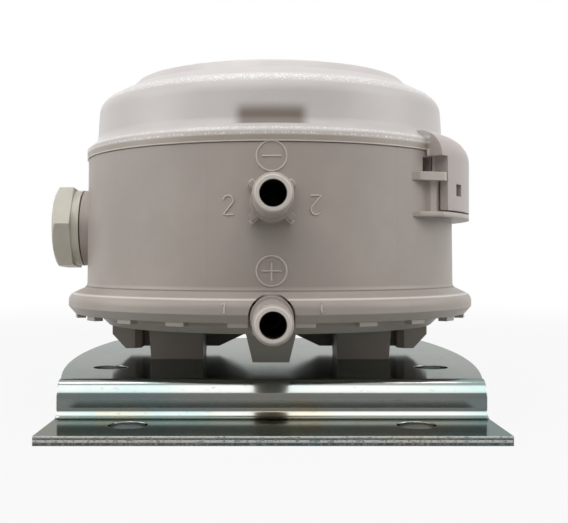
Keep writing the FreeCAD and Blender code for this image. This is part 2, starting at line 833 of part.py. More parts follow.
def add_snap_hooks(body):
    beside_nipples = FreeCAD.Rotation(FreeCAD.Vector(0, 0, 1), 180 / s.hook_count.value - 90)
    place = sketch_on(body, "hook_place", "XY_Plane", s.hook_bottom, turn=beside_nipples)
    inner = s.rim_radius - s.hook_overlap
    outer = s.skirt_radius - s.skirt_bevel - s.hook_clearance
    rectangle(place, inner, outer, -s.hook_width / 2, s.hook_width / 2)
    hook = pad(body, "hook", place, s.hook_height)
    pattern(body, "hooks", hook, s.hook_count)


def ledge(body, name, bottom, height, outer, inner_half, outer_half):
    # A shelf on the wall whose two ends run nearly square to it
    root = s.wall_inner_radius + s.embed
    sketch = sketch_on(body, name + "_section", "XY_Plane", bottom)
    root_x = reach_at(root, inner_half)
    outer_x = reach_at(outer, outer_half)
    outline(sketch, [
        (root_x, -inner_half),
        (outer_x, -outer_half, outer),
        (outer_x, outer_half),
        (root_x, inner_half, -root),
    ])
    pad(body, name, sketch, height)


def reach_at(radius, half):
    number = math.sqrt(radius.value ** 2 - half.value ** 2)
    return Dim(number, f"sqrt({radius.text} ^ 2 - {half.text} ^ 2)")


def add_latch_ledges(body):
    upper_radius = tongue_inner - s.tongue_clearance
    ledge(body, "lower_ledge", s.lower_ledge_bottom, s.lower_ledge_thickness,
          s.ledge_radius, s.ledge_inner_half, s.ledge_outer_half)
    ledge(body, "upper_ledge", s.upper_ledge_bottom, s.upper_ledge_thickness,
          s.ledge_radius, s.ledge_inner_half, s.ledge_outer_half)
    ledge(body, "latch_block", lower_ledge_top, s.latch_block_height,
          s.latch_block_radius, s.latch_block_half + s.tongue_clearance, s.latch_block_half)
    # The tongue of the cover runs down through the upper ledge
    turned(body, "tongue_gap", [
        (upper_radius, s.upper_ledge_bottom - s.seat_clearance),
        (s.ledge_radius + s.tongue_clearance, s.upper_ledge_bottom - s.seat_clearance),
        (s.ledge_radius + s.tongue_clearance, upper_ledge_top + s.tongue_clearance),
        (upper_radius, upper_ledge_top + s.tongue_clearance),
    ], angle=s.tongue_angle + s.tongue_side_angle, kind="Groove")
    # A slot in the wall beside each edge of the tongue
    for number, side in enumerate((-1, 1)):
        turn = FreeCAD.Rotation(FreeCAD.Vector(0, 1, 0), side * s.catch_angle.value)
        slot = sketch_on(body, f"catch_section_{number}", "XZ_Plane", turn=turn)
        rectangle(slot, s.wall_inner_radius - s.embed, s.wall_foot_radius + s.embed,
                  upper_ledge_top, upper_ledge_top + s.catch_height)
        pocket(body, f"catch_{number}", slot, s.catch_width, both=True)


def add_high_pressure_notch(body):
    # Arch in the skirt round the lower nipple
    half = s.nipple_collar_radius + s.notch_clearance
    arch = sketch_on(body, "arch_section", "XZ_Plane", s.skirt_radius + s.skirt_wall)
    low = s.hook_bottom - s.skirt_wall
    outline(arch, [
        (half, s.low_nipple_height, half_circle),
        (-half, s.low_nipple_height),
        (-half, low),
        (half, low),
    ])
    pocket(body, "arch", arch, s.skirt_radius + s.skirt_wall - s.rim_radius + s.notch_clearance)


def add_low_pressure_inlet(body):
    duct_back = s.wall_inner_radius - s.duct_depth
    duct = sketch_on(body, "duct_section", "XY_Plane", s.deck_underside + s.deck_thickness / 2)
    wall_middle = s.wall_inner_radius + s.embed
    rectangle(duct, -s.duct_width / 2, s.duct_width / 2, -wall_middle, -duct_back)
    pad(body, "duct", duct, s.duct_top - s.deck_underside - s.deck_thickness / 2)
    for number, side in enumerate((-1, 1)):
        turn = FreeCAD.Rotation(FreeCAD.Vector(0, 0, 1), s.fin_angle.value * side)
        fin = sketch_on(body, f"fin_section_{number}", "XZ_Plane", wall_middle,
                        up=s.high_nipple_height, turn=turn)
        centred_rectangle(fin, zero, zero, s.fin_span, s.fin_width)
        pad(body, f"fin_{number}", fin, s.fin_reach - wall_middle)
    collar = sketch_on(body, "high_collar_section", "XZ_Plane", wall_middle)
    circle(collar, zero, s.high_nipple_height, s.nipple_collar_radius)
    pad(body, "high_collar", collar, s.nipple_collar_reach - wall_middle)
    add_nipple(body, "high", s.high_nipple_height, s.wall_inner_radius)
    duct_middle = duct_back + s.duct_depth / 2
    across = sketch_on(body, "duct_across_section", "XZ_Plane", duct_middle)
    circle(across, zero, s.high_nipple_height, s.duct_bore_radius)
    pocket(body, "duct_across", across, s.duct_depth / 2 + s.seat_clearance, down=True)
    down = sketch_on(body, "duct_down_section", "XY_Plane", s.high_nipple_height)
    circle(down, zero, -duct_middle, s.duct_bore_radius)
    pocket(body, "duct_down", down, s.high_nipple_height - s.deck_underside + s.seat_clearance)


def add_gland_spigot(body):
    collar_start = s.wall_inner_radius - s.embed
    collar = sketch_on(body, "gland_collar_section", "YZ_Plane", -collar_start)
    circle(collar, zero, s.gland_height, s.gland_collar_radius)
    pad(body, "gland_collar", collar, s.gland_collar_reach - collar_start, down=True)
    spigot = sketch_on(body, "gland_spigot_section", "YZ_Plane", -s.gland_collar_reach)
    circle(spigot, zero, s.gland_height, s.gland_spigot_radius)
    pad(body, "gland_spigot", spigot, s.gland_spigot_reach - s.gland_collar_reach, down=True)
    bore = sketch_on(body, "gland_bore_section", "YZ_Plane", -s.gland_spigot_reach)
    circle(bore, zero, s.gland_height, s.gland_bore_radius)
    pocket(body, "gland_bore", bore, s.gland_spigot_reach - collar_start + s.tower_radius, down=True)
    seat = sketch_on(body, "seal_pocket_section", "YZ_Plane", -s.gland_spigot_reach)
    circle(seat, zero, s.gland_height, s.seal_pocket_radius)
    pocket(body, "seal_pocket", seat, s.seal_length, down=True)


def add_switch_posts(body):
    root = s.deck_underside + s.deck_thickness / 2
    guide = sketch_on(body, "guide_section", "XY_Plane", root)
    circle(guide, zero, -s.push_pin_front, s.guide_radius)
    pad(body, "guide", guide, s.deck_thickness / 2 + s.guide_height)
    guide_hole = sketch_on(body, "guide_bore_section", "XY_Plane", deck_top + s.guide_height)
    circle(guide_hole, zero, -s.push_pin_front, s.push_pin_radius + s.pin_clearance)
    pocket(body, "guide_bore", guide_hole, s.guide_height + s.deck_thickness * 2)
    posts = sketch_on(body, "post_section", "XY_Plane", root)
    holes = sketch_on(body, "post_hole_section", "XY_Plane", s.ear_bottom)
    for side in (-1, 1):
        centred_rectangle(posts, s.ear_screw_offset * side, -s.ear_front, s.post_width, s.post_width)
        circle(holes, s.ear_screw_offset * side, -s.ear_front, s.ear_screw_radius + s.screw_clearance)
    pad(body, "posts", posts, s.ear_bottom - root)
    pocket(body, "post_holes", holes, s.ear_screw_reach + s.screw_hole_clearance)


# Milky cover: stepped dome, lip, locating spigot and the tongue of the latch
def make_cover():
    body = piece("cover")
    foot_height = cover_seat + s.lip_height + s.cover_foot_rise
    inner_foot = s.cover_foot_radius - s.cover_wall
    spigot_outer = s.wall_inner_radius - s.spigot_clearance
    turned(body, "dome", [
        (zero, s.cover_top - s.cover_wall),
        (s.cover_crown_radius - s.cover_wall, s.cover_crown_height - s.cover_wall),
        (s.cover_slope_radius - s.cover_wall, s.cover_slope_height - s.cover_wall),
        (s.cover_shoulder_radius - s.cover_wall, s.cover_shoulder_height - s.cover_wall),
        (inner_foot, cover_seat),
        (inner_foot, s.wall_top - s.spigot_depth),
        (spigot_outer, s.wall_top - s.spigot_depth),
        (spigot_outer, cover_seat),
        (s.lip_radius, cover_seat),
        (s.lip_radius, cover_seat + s.lip_height),
        (s.cover_foot_radius, foot_height),
        (s.cover_shoulder_radius, s.cover_shoulder_height),
        (s.cover_slope_radius, s.cover_slope_height),
        (s.cover_crown_radius, s.cover_crown_height),
        (zero, s.cover_top),
    ])
    dress(body, "rounded_shoulder", "Fillet", s.shoulder_round,
          ring_at(s.cover_shoulder_radius, s.cover_shoulder_height))
    dress(body, "rounded_crown", "Fillet", s.crown_round, ring_at(s.cover_crown_radius, s.cover_crown_height))
    dress(body, "rounded_foot", "Fillet", s.foot_round, ring_at(s.cover_foot_radius, foot_height))
    dress(body, "rounded_lip", "Fillet", s.lip_round, ring_at(s.lip_radius, cover_seat + s.lip_height))
    # The tongue hangs from a short canopy with a rounded shoulder
    canopy_top = cover_seat + s.canopy_rise
    canopy_bottom = canopy_top - s.canopy_round
    canopy_root = s.cover_foot_radius - s.cover_wall / 2
    wall_side = s.wall_head_radius + s.tongue_clearance
    root_bottom = upper_ledge_top + s.tongue_clearance
    turned(body, "canopy", [
        (canopy_root, cover_seat),
        (wall_side, cover_seat),
        (wall_side, canopy_bottom),
        (tongue_outer, canopy_bottom, s.canopy_round),
        (tongue_outer - s.canopy_round, canopy_top),
        (canopy_root, canopy_top),
    ], angle=s.canopy_angle)
    turned(body, "tongue", [
        (wall_side, root_bottom),
        (tongue_inner, root_bottom),
        (tongue_inner, tongue_bottom),
        (tongue_outer, tongue_bottom),
        (tongue_outer, canopy_bottom),
        (tongue_outer - s.embed, canopy_bottom + s.embed),
        (wall_side, canopy_bottom + s.embed),
    ], angle=s.tongue_angle)
    for number, side in enumerate((-1, 1)):
        turn = FreeCAD.Rotation(FreeCAD.Vector(0, 1, 0), side * s.window_angle.value)
        window = sketch_on(body, f"window_section_{number}", "XZ_Plane", turn=turn)
        rectangle(window, tongue_inner - s.tongue_clearance, tongue_outer + s.tongue_clearance,
                  s.window_bottom, s.window_bottom + s.window_height)
        pocket(body, f"window_{number}", window, s.window_width, both=True)


# Cable gland: hexagonal cap nut, thrust washer and rubber seal on the housing's spigot
hexagon_sides = 6


def make_gland():
    nut = piece("gland_nut")
    side_angle = 360 / hexagon_sides
    corner = nut_flat_radius * (1 / math.cos(math.radians(side_angle / 2)))
    hexagon = sketch_on(nut, "hexagon", "YZ_Plane", -nut_mouth_reach)
    first = 180 - s.nut_corner_angle.value
    angles = [math.radians(first - side_angle * side) for side in range(hexagon_sides)]
    outline(hexagon, [(corner * math.cos(a), s.gland_height + corner * math.sin(a)) for a in reversed(angles)])
    pad(nut, "prism", hexagon, s.nut_reach - nut_mouth_reach, down=True)
    turned_nut_end(nut, corner)
    inside = sketch_on(nut, "thread_section", "YZ_Plane", -nut_mouth_reach)
    circle(inside, zero, s.gland_height, nut_inner_radius)
    pocket(nut, "thread_bore", inside, washer_reach - nut_mouth_reach)
    hole = sketch_on(nut, "cable_hole_section", "YZ_Plane", -nut_mouth_reach)
    circle(hole, zero, s.gland_height, s.nut_bore_radius)
    pocket(nut, "cable_hole", hole, s.nut_reach - nut_mouth_reach + s.nut_gap)

    washer = piece("gland_washer")
    ring(washer, -s.gland_spigot_reach, s.washer_thickness - s.seal_clearance, s.washer_radius, s.nut_bore_radius)
    seal = piece("gland_seal")
    ring(seal, -s.gland_spigot_reach + s.seal_length, s.seal_length,
         s.seal_pocket_radius - s.seal_clearance, s.seal_bore_radius)


def ring(body, start, length, outer, inner):
    section = sketch_on(body, body.Name + "_section", "YZ_Plane", start)
    circle(section, zero, s.gland_height, outer)
    circle(section, zero, s.gland_height, inner)
    pad(body, body.Name + "_ring", section, length, down=True)


def turned_nut_end(nut, corner):
    # The bevelled end and the round skirt are turned about the gland's own axis
    axis_sketch = sketch_on(nut, "nut_turning", "XZ_Plane", up=s.gland_height)
    far = corner + s.nut_end_bevel
    outline(axis_sketch, [
        (-s.nut_reach - s.nut_gap, nut_flat_radius - s.nut_end_bevel),
        (-s.nut_reach, nut_flat_radius - s.nut_end_bevel),
        (-s.nut_reach + s.nut_end_taper, corner),
        (-s.nut_reach + s.nut_end_taper, far),
        (-s.nut_reach - s.nut_gap, far),
    ])
    outline(axis_sketch, [
        (-nut_skirt_reach, nut_skirt_radius),
        (-nut_mouth_reach + s.nut_gap, nut_skirt_radius),
        (-nut_mouth_reach + s.nut_gap, far),
        (-nut_skirt_reach, far),
    ])
    groove = feature(nut, "Groove", "turned_end", axis_sketch)
    groove.ReferenceAxis = (axis_sketch, ["H_Axis"])
    cut(groove)


# Silicone diaphragm with a bead at its edge and one convolution
def make_diaphragm():
    body = piece("diaphragm")
    bead_half = s.bead_width / 2
    bead_bottom = s.clamp_height - s.bead_depth
    thick = s.diaphragm_thickness
    roll_bottom = s.clamp_height - s.roll_drop
    groove_edge = s.roll_flank + thick
    turned(body, "sheet", [
        (zero, s.clamp_height),
        (roll_inner, s.clamp_height),
        (roll_inner + s.roll_flank, roll_bottom),
        (roll_outer - s.roll_flank, roll_bottom),
        (roll_outer, s.clamp_height),
        (s.bead_radius - bead_half, s.clamp_height),
        (s.bead_radius - bead_half, bead_bottom),
        (s.bead_radius + bead_half, bead_bottom),
        (s.bead_radius + bead_half, seat_height),
        (roll_outer - thick, seat_height),
        (roll_outer - groove_edge, roll_bottom + thick),
        (roll_inner + groove_edge, roll_bottom + thick),
        (roll_inner + thick, seat_height),
        (zero, seat_height),
    ])


# Stiff plate on the diaphragm with the spring's boss and the push pin of the switch
def make_diaphragm_plate():
    body = piece("diaphragm_plate")
    rib_inner = s.plate_rib_radius - s.plate_rib_width / 2
    rib_outer = s.plate_rib_radius + s.plate_rib_width / 2
    rib_top = plate_upper + s.plate_rib_height
    boss_radius = s.spring_mean_radius - s.spring_wire_radius - s.spring_clearance
    turned(body, "disc", [
        (zero, seat_height),
        (s.plate_radius, seat_height),
        (s.plate_radius, plate_upper),
        (rib_outer, plate_upper),
        (rib_outer, rib_top),
        (rib_inner, rib_top),
        (rib_inner, plate_upper),
        (boss_radius, plate_upper),
        (boss_radius, plate_upper + s.spring_boss_height),
        (zero, plate_upper + s.spring_boss_height),
    ])
    pin = sketch_on(body, "push_pin_section", "XY_Plane", plate_upper - s.plate_thickness / 2)
    circle(pin, zero, -s.push_pin_front, s.push_pin_radius)
    pin_top = lever_bottom - s.contact_gap
    pad(body, "push_pin", pin, pin_top - plate_upper + s.plate_thickness / 2)
    dress(body, "pin_tip", "Chamfer", s.push_pin_bevel, ring_at(s.push_pin_radius, pin_top))


# Range spring between the diaphragm plate and the setting nut, of wire drawn with six sides
wire_sides = 6


def make_range_spring():
    body = piece("range_spring")
    bottom = plate_upper + s.spring_wire_radius + s.contact_gap / 2
    top = s.setting_nut_bottom - s.spring_wire_radius - s.contact_gap / 2
    wire = sketch_on(body, "wire_section", "XZ_Plane")
    angles = [math.tau * side / wire_sides for side in range(wire_sides)]
    outline(wire, [(s.spring_mean_radius + s.spring_wire_radius * math.cos(angle),
                    bottom + s.spring_wire_radius * math.sin(angle)) for angle in angles])
    coil = feature(body, "AdditiveHelix", "coil", wire)
    coil.ReferenceAxis = (wire, ["V_Axis"])
    coil.Mode = "height-turns-angle"
    bind(coil, "Height", top - bottom)
    bind(coil, "Turns", s.spring_turns)
    doc.recompute()


# Nut that the knob's stem drives down on the spring
def make_setting_nut():
    body = piece("setting_nut")
    section = sketch_on(body, "nut_section", "XY_Plane", s.setting_nut_bottom)
    circle(section, zero, zero, setting_nut_radius)
    pad(body, "nut_disc", section, s.setting_nut_height)
    keys = sketch_on(body, "nut_keys_section", "XY_Plane", s.setting_nut_bottom)
    rectangle(keys, -s.key_reach, s.key_reach, -s.key_width / 2, s.key_width / 2)
    pad(body, "nut_keys", keys, s.setting_nut_height)
    bore = sketch_on(body, "nut_bore_section", "XY_Plane", s.setting_nut_bottom + s.setting_nut_height)
    circle(bore, zero, zero, s.knob_stem_radius + s.stem_clearance)
    pocket(body, "nut_bore", bore)


# Setting knob: fluted head that carries the dial, on a stem
def make_setting_knob():
    body = piece("setting_knob")
    bottom = s.tower_top + s.knob_clearance
    top = bottom + s.knob_height
    turned(body, "head", [
        (zero, bottom - s.knob_stem_length),
        (s.knob_stem_radius, bottom - s.knob_stem_length),
        (s.knob_stem_radius, bottom),
        (s.knob_radius, bottom),
        (s.knob_radius, top - s.knob_crown),
        (s.knob_radius - s.knob_crown, top),
        (zero, top),
    ])
    slot = sketch_on(body, "slot_section", "XY_Plane", top)
    centred_rectangle(slot, zero, zero, s.knob_slot_width, s.knob_slot_length)
    pocket(body, "slot", slot, s.knob_slot_depth)
    place = sketch_on(body, "flute_section", "XY_Plane", top)
    circle(place, s.knob_radius + s.flute_stand, zero, s.flute_radius)
    flute = pocket(body, "flute", place, s.knob_height - s.knob_crown)
    pattern(body, "flutes", flute, s.flute_count)


# Snap switch: case, its tabs, screws, lever, pivot pin and plunger
def make_switch_case():
    body = piece("switch_case")
    half = s.case_width / 2
    plan = sketch_on(body, "case_section", "XY_Plane", s.case_bottom)
    rectangle(plan, -half, half, -s.case_front, -case_back)
    pad(body, "case", plan, s.case_height)
    dress(body, "case_corners", "Fillet", s.case_round, upright)
    ears = sketch_on(body, "ear_section", "XY_Plane", s.ear_bottom)
    holes = sketch_on(body, "ear_hole_section", "XY_Plane", s.ear_bottom + s.ear_thickness)
    lugs = sketch_on(body, "lug_section", "XY_Plane", s.case_bottom + s.case_round)
    lug_inner = s.lever_width / 2 + s.lug_clearance
    for side in (-1, 1):
        near, far = s.case_width / 2 * side - s.case_round * side, s.ear_reach * side
        low, high = (near, far) if side > 0 else (far, near)
        ear_half = s.ear_depth / 2
        rectangle(ears, low, high, -s.ear_front - ear_half, -s.ear_front + ear_half)
        circle(holes, s.ear_screw_offset * side, -s.ear_front, s.ear_screw_radius + s.screw_clearance)
        lug_x = (lug_inner + s.lug_thickness / 2) * side
        centred_rectangle(lugs, lug_x, -s.lever_pivot_front, s.lug_thickness, s.lug_depth)
    pad(body, "ears", ears, s.ear_thickness)
    pocket(body, "ear_holes", holes, s.ear_thickness + s.screw_clearance)
    pad(body, "lugs", lugs, s.case_round + s.lug_drop, down=True)
    pivot = sketch_on(body, "pivot_section", "YZ_Plane")
    circle(pivot, -s.lever_pivot_front, s.lever_pivot_height, s.lever_pin_radius + s.lever_pin_clearance)
    pocket(body, "pivot_hole", pivot, s.case_width, both=True)
    plunger = sketch_on(body, "plunger_hole_section", "XY_Plane", s.case_bottom)
    circle(plunger, zero, -s.plunger_front, s.plunger_radius + s.plunger_clearance)
    pocket(body, "plunger_hole", plunger, s.plunger_length + s.plunger_travel, down=True)
    slots = sketch_on(body, "tab_slot_section", "YZ_Plane", -half)
    for number in range(3):
        centre = -s.tab_front - s.tab_pitch * number
        slot_half = s.tab_thickness / 2 + s.tab_clearance
        rectangle(slots, centre - slot_half, centre + slot_half,
                  s.tab_bottom - s.tab_clearance, s.tab_bottom + s.tab_width + s.tab_clearance)
    pocket(body, "tab_slots", slots, s.tab_root + s.tab_clearance, down=True)


def make_tab(number):
    body = piece(f"spade_tab_{number + 1}")
    tip = -s.case_width / 2 - s.tab_reach
    blade = sketch_on(body, "blade_section", "XZ_Plane", s.tab_front + s.tab_pitch * number)
    bevel = s.tab_thickness
    top = s.tab_bottom + s.tab_width
    outline(blade, [
        (-s.case_width / 2 + s.tab_root, s.tab_bottom),
        (-s.case_width / 2 + s.tab_root, top),
        (tip + bevel, top),
        (tip, top - bevel),
        (tip, s.tab_bottom + bevel),
        (tip + bevel, s.tab_bottom),
    ])
    circle(blade, tip + s.tab_width / 2, s.tab_bottom + s.tab_width / 2, s.tab_hole_radius)
    pad(body, "blade", blade, s.tab_thickness, both=True)


def make_switch_screws():
    body = piece("switch_screws")
    seat = s.ear_bottom + s.ear_thickness
    heads = sketch_on(body, "head_places", "XY_Plane", seat)
    shanks = sketch_on(body, "shank_places", "XY_Plane", seat)
    for side in (-1, 1):
        circle(heads, s.ear_screw_offset * side, -s.ear_front, s.ear_screw_head_radius)
        circle(shanks, s.ear_screw_offset * side, -s.ear_front, s.ear_screw_radius)
    pad(body, "heads", heads, s.ear_screw_head_height)
    pad(body, "shanks", shanks, s.ear_thickness + s.ear_screw_reach, down=True)


def make_switch_lever():
    body = piece("switch_lever")
    half = s.lever_width / 2
    strip = sketch_on(body, "strip_section", "XY_Plane", lever_bottom)
    rectangle(strip, -half, half, -s.lever_pivot_front, -s.lever_end_front)
    pad(body, "strip", strip, s.lever_thickness)
    eye = sketch_on(body, "eye_section", "YZ_Plane")
    circle(eye, -s.lever_pivot_front, s.lever_pivot_height, s.lever_eye_radius)
    pad(body, "eye", eye, s.lever_width, both=True)
    bore = sketch_on(body, "eye_bore_section", "YZ_Plane")
    circle(bore, -s.lever_pivot_front, s.lever_pivot_height, s.lever_pin_radius + s.lever_pin_clearance)
    pocket(body, "eye_bore", bore, s.lever_width + s.lug_clearance, both=True)


def make_lever_pin():
    body = piece("lever_pin")
    section = sketch_on(body, "pin_section", "YZ_Plane")
    circle(section, -s.lever_pivot_front, s.lever_pivot_height, s.lever_pin_radius)
    length = s.lever_width + s.lug_clearance * 2 + s.lug_thickness * 2
    pad(body, "pin", section, length, both=True)


def make_switch_plunger():
    body = piece("switch_plunger")
    bottom = lever_top + s.contact_gap
    section = sketch_on(body, "plunger_section", "XY_Plane", bottom)
    circle(section, zero, -s.plunger_front, s.plunger_radius)
    pad(body, "button", section, s.plunger_length + s.case_bottom - bottom)
    dress(body, "button_tip", "Chamfer", s.plunger_bevel, ring_at(s.plunger_radius, bottom))


make_bracket()
make_bracket_screws()
make_lower_housing()
make_upper_housing()
make_cover()
make_gland()
make_diaphragm()
make_diaphragm_plate()
make_range_spring()
make_setting_nut()
make_setting_knob()
make_switch_case()
for tab in range(3):
    make_tab(tab)
make_switch_screws()
make_switch_lever()
make_lever_pin()
make_switch_plunger()

doc.recompute()
for item in doc.Objects:
    if {"Invalid", "Error"} & set(item.State):
        raise RuntimeError(f"{item.Name} failed: {item.State}")
for item in subparts:
    if item.Shape.isNull() or not item.Shape.isValid():
        raise RuntimeError(f"{item.Label} has no valid shape")
os.makedirs("parts", exist_ok=True)
for item in subparts:
    item.Shape.exportStep(f"parts/{item.Label}.step")
    print(item.Label, len(item.Shape.Solids), round(item.Shape.Volume, 1))
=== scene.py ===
import bmesh
import bpy
import json
import math
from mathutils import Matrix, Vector

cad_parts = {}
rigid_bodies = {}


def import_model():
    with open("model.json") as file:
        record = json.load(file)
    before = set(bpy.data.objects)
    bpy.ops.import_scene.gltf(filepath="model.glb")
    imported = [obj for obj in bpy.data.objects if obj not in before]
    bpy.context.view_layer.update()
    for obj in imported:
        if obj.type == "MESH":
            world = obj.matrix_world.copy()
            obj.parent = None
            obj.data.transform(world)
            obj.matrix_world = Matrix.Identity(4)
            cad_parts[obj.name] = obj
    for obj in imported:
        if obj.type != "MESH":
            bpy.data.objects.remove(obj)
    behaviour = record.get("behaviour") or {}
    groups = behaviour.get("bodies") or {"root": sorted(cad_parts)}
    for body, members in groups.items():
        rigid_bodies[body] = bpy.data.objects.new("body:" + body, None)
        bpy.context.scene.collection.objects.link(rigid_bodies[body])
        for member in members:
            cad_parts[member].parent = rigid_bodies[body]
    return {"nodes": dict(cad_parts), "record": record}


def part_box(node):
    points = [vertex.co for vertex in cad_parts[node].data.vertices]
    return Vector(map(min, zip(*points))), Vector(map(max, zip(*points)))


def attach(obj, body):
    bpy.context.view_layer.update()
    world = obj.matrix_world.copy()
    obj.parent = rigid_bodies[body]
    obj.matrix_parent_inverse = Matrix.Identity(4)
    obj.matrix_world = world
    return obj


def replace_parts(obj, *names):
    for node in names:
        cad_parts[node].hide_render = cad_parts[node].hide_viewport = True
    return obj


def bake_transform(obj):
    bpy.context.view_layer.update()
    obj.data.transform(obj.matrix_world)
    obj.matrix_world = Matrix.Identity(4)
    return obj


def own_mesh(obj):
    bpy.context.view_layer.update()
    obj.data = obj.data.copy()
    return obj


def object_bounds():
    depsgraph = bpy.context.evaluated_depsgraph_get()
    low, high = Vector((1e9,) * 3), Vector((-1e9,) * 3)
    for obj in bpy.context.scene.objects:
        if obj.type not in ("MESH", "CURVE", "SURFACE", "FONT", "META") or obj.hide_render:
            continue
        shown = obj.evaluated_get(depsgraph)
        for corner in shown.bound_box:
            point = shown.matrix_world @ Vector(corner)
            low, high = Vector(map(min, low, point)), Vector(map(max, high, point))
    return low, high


for leftover in list(bpy.data.objects):
    bpy.data.objects.remove(leftover)
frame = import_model()
bpy.context.view_layer.update()
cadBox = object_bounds()
nodes = frame["nodes"]
mm = 0.001
roundLow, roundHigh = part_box("diaphragm")
axisY = (roundLow.y + roundHigh.y) / 2  # the round housing stands on this line
print("frame loaded with", len(nodes), "nodes")


# Node arithmetic: a socket that can be added, multiplied and so on
class Wire:
    def __init__(self, tree, socket=None):
        self.tree = tree
        self.socket = socket

    def node(self, kind, settings=None, sockets=None, out=0):
        made = self.tree.nodes.new(kind)
        for name, value in (settings or {}).items():
            setattr(made, name, value)
        for name, value in (sockets or {}).items():
            if isinstance(value, Wire):
                self.tree.links.new(value.socket, made.inputs[name])
            else:
                made.inputs[name].default_value = value
        return Wire(self.tree, made.outputs[out])

    def maths(self, operation, first, second=0.0):
        return self.node("ShaderNodeMath", {"operation": operation}, {0: first, 1: second})

    def __add__(self, other):
        return self.maths("ADD", self, other)

    __radd__ = __add__

    def __mul__(self, other):
        return self.maths("MULTIPLY", self, other)

    __rmul__ = __mul__

    def __sub__(self, other):
        return self.maths("SUBTRACT", self, other)

    def __rsub__(self, other):
        return self.maths("SUBTRACT", other, self)

    def __pow__(self, other):
        return self.maths("POWER", self, other)


def tone(red, green, blue):
    # screen colour, 0 to 255, as the linear colour that the shader wants
    def linear(part):
        part = part / 255
        return part / 12.92 if part <= 0.04045 else ((part + 0.055) / 1.055) ** 2.4
    return (linear(red), linear(green), linear(blue), 1.0)


def between(low, high, value):
    # 0 below low, 1 above high, smooth on the way
    return value.node("ShaderNodeMapRange", {"interpolation_type": "SMOOTHSTEP"},
                      {"Value": value, "From Min": low, "From Max": high})


def band(value, centre, half, soft):
    # 1 within half of the centre, falling to 0 over soft
    away = value.maths("ABSOLUTE", value - centre)
    return 1 - between(half, half + soft, away)


def reach(x, y):
    return ((x * x) + (y * y)) ** 0.5


def noise(place, scale, detail, rough):
    return place.node("ShaderNodeTexNoise", None,
                      {"Vector": place, "Scale": scale, "Detail": detail, "Roughness": rough})


def grains(place, scale):
    # distance from the middle of the nearest grain, and a chance value for each grain
    sockets = {"Vector": place, "Scale": scale}
    away = place.node("ShaderNodeTexVoronoi", None, sockets, out="Distance")
    pick = place.node("ShaderNodeTexVoronoi", None, sockets, out="Color")
    return away, pick.node("ShaderNodeSeparateColor", None, {0: pick})


def stretched(place, along):
    return place.node("ShaderNodeVectorMath", {"operation": "MULTIPLY"}, {0: place, 1: along})


def blendColour(mask, first, second):
    return mask.node("ShaderNodeMix", {"data_type": "RGBA"}, {0: mask, 6: first, 7: second}, out=2)


def shaded(colour, factor):
    # a colour made lighter or darker by a value
    grey = factor.node("ShaderNodeCombineXYZ", None, {0: factor, 1: factor, 2: factor})
    return factor.node("ShaderNodeMix", {"data_type": "RGBA", "blend_type": "MULTIPLY"},
                       {0: 1.0, 6: colour, 7: grey}, out=2)


def bumped(height, strength, distance, edge):
    return height.node("ShaderNodeBump", None,
                       {"Strength": strength, "Distance": distance, "Height": height, "Normal": edge})


# How finely an edge's rounding is sampled, and how far its normal turns before the edge is painted pale, as wear and as
# highlight
edgeLook = {"samples": 6, "wornAndLit": (0.015, 0.16)}


def softEdge(place, radius):
    # the small rounding that a moulded or stamped edge has
    return place.node("ShaderNodeBevel", {"samples": edgeLook["samples"]}, {"Radius": radius})


def wornAndLitEdge(place, edge):
    # 1 along the edges, where the rounded normal leaves the flat one: the mask for edge wear and painted edge
    # highlights
    flat = place.node("ShaderNodeNewGeometry", None, None, out="Normal")
    same = place.node("ShaderNodeVectorMath", {"operation": "DOT_PRODUCT"}, {0: flat, 1: edge}, out="Value")
    return between(*edgeLook["wornAndLit"], 1 - same)


def newFinish(name, fixed):
    made = bpy.data.materials.new(name)
    made.use_nodes = True
    tree = made.node_tree
    shader = tree.nodes["Principled BSDF"]
    for socket, value in fixed.items():
        shader.inputs[socket].default_value = value
    place = Wire(tree).node("ShaderNodeTexCoord", None, None, out="Object")
    return made, shader, place


def feed(shader, **wires):
    names = {"colour": "Base Color", "rough": "Roughness", "metal": "Metallic", "normal": "Normal"}
    for name, wire in wires.items():
        wire.tree.links.new(wire.socket, shader.inputs[names[name]])


def axes(place):
    return [place.node("ShaderNodeSeparateXYZ", None, {0: place}, out=number) for number in range(3)]


# Grey moulded plastic of the two housing halves
housingLook = {
    "base": tone(165, 156, 148), "pale": tone(174, 165, 157), "speck": tone(70, 62, 58), "sheenAndWear": tone(220, 212, 203),
    "specular": 0.42, "rough": 0.38, "roughGrain": 0.12, "roughSpeck": 0.1, "edge": 0.22 * mm,
    "bump": 0.25, "bumpDepth": 0.08 * mm, "bumpGrain": 0.5, "bumpCloud": 0.3, "bumpLine": 0.6,
    "cloud": (55, 4.0, 0.55), "cloudShare": (0.35, 0.68), "grain": (5200, 2.0, 0.6),
    "speckScale": 240, "speckPick": (0.93, 0.94), "speckSize": (0.035, 0.063), "speckCover": 0.8,
    "mouldLines": (-0.30, 0.64, -1.9, 2.35), "lineWidth": 0.0022, "lineShade": 0.1,
    "boreHeights": (18.4 * mm, 38.4 * mm), "boreRadius": (2.12 * mm, 2.15 * mm), "boreFront": (22 * mm, 24 * mm),
    "boreShade": 0.08,
    "cornerHeight": (22.75 * mm, 0.05 * mm, 0.22 * mm), "cornerRadius": (38.95 * mm, 0.1 * mm, 0.3 * mm),
    "cornerShade": 0.35,
    "rimHeight": (21.42 * mm, 0.04 * mm, 0.22 * mm), "rimRadius": (41.65 * mm, 0.4 * mm, 0.3 * mm),
    "nippleTip": (60.7 * mm, 60.95 * mm), "tipCover": 0.8,
    "ledgeRadius": (39.3 * mm, 39.6 * mm), "ledgeFoot": (36.5 * mm, 37 * mm), "ledgeSide": (25 * mm, 30 * mm),
    "ledgeCover": 0.5, "edgeSheenAndWear": 0.3, "ridgeSheen": 0.55,
}


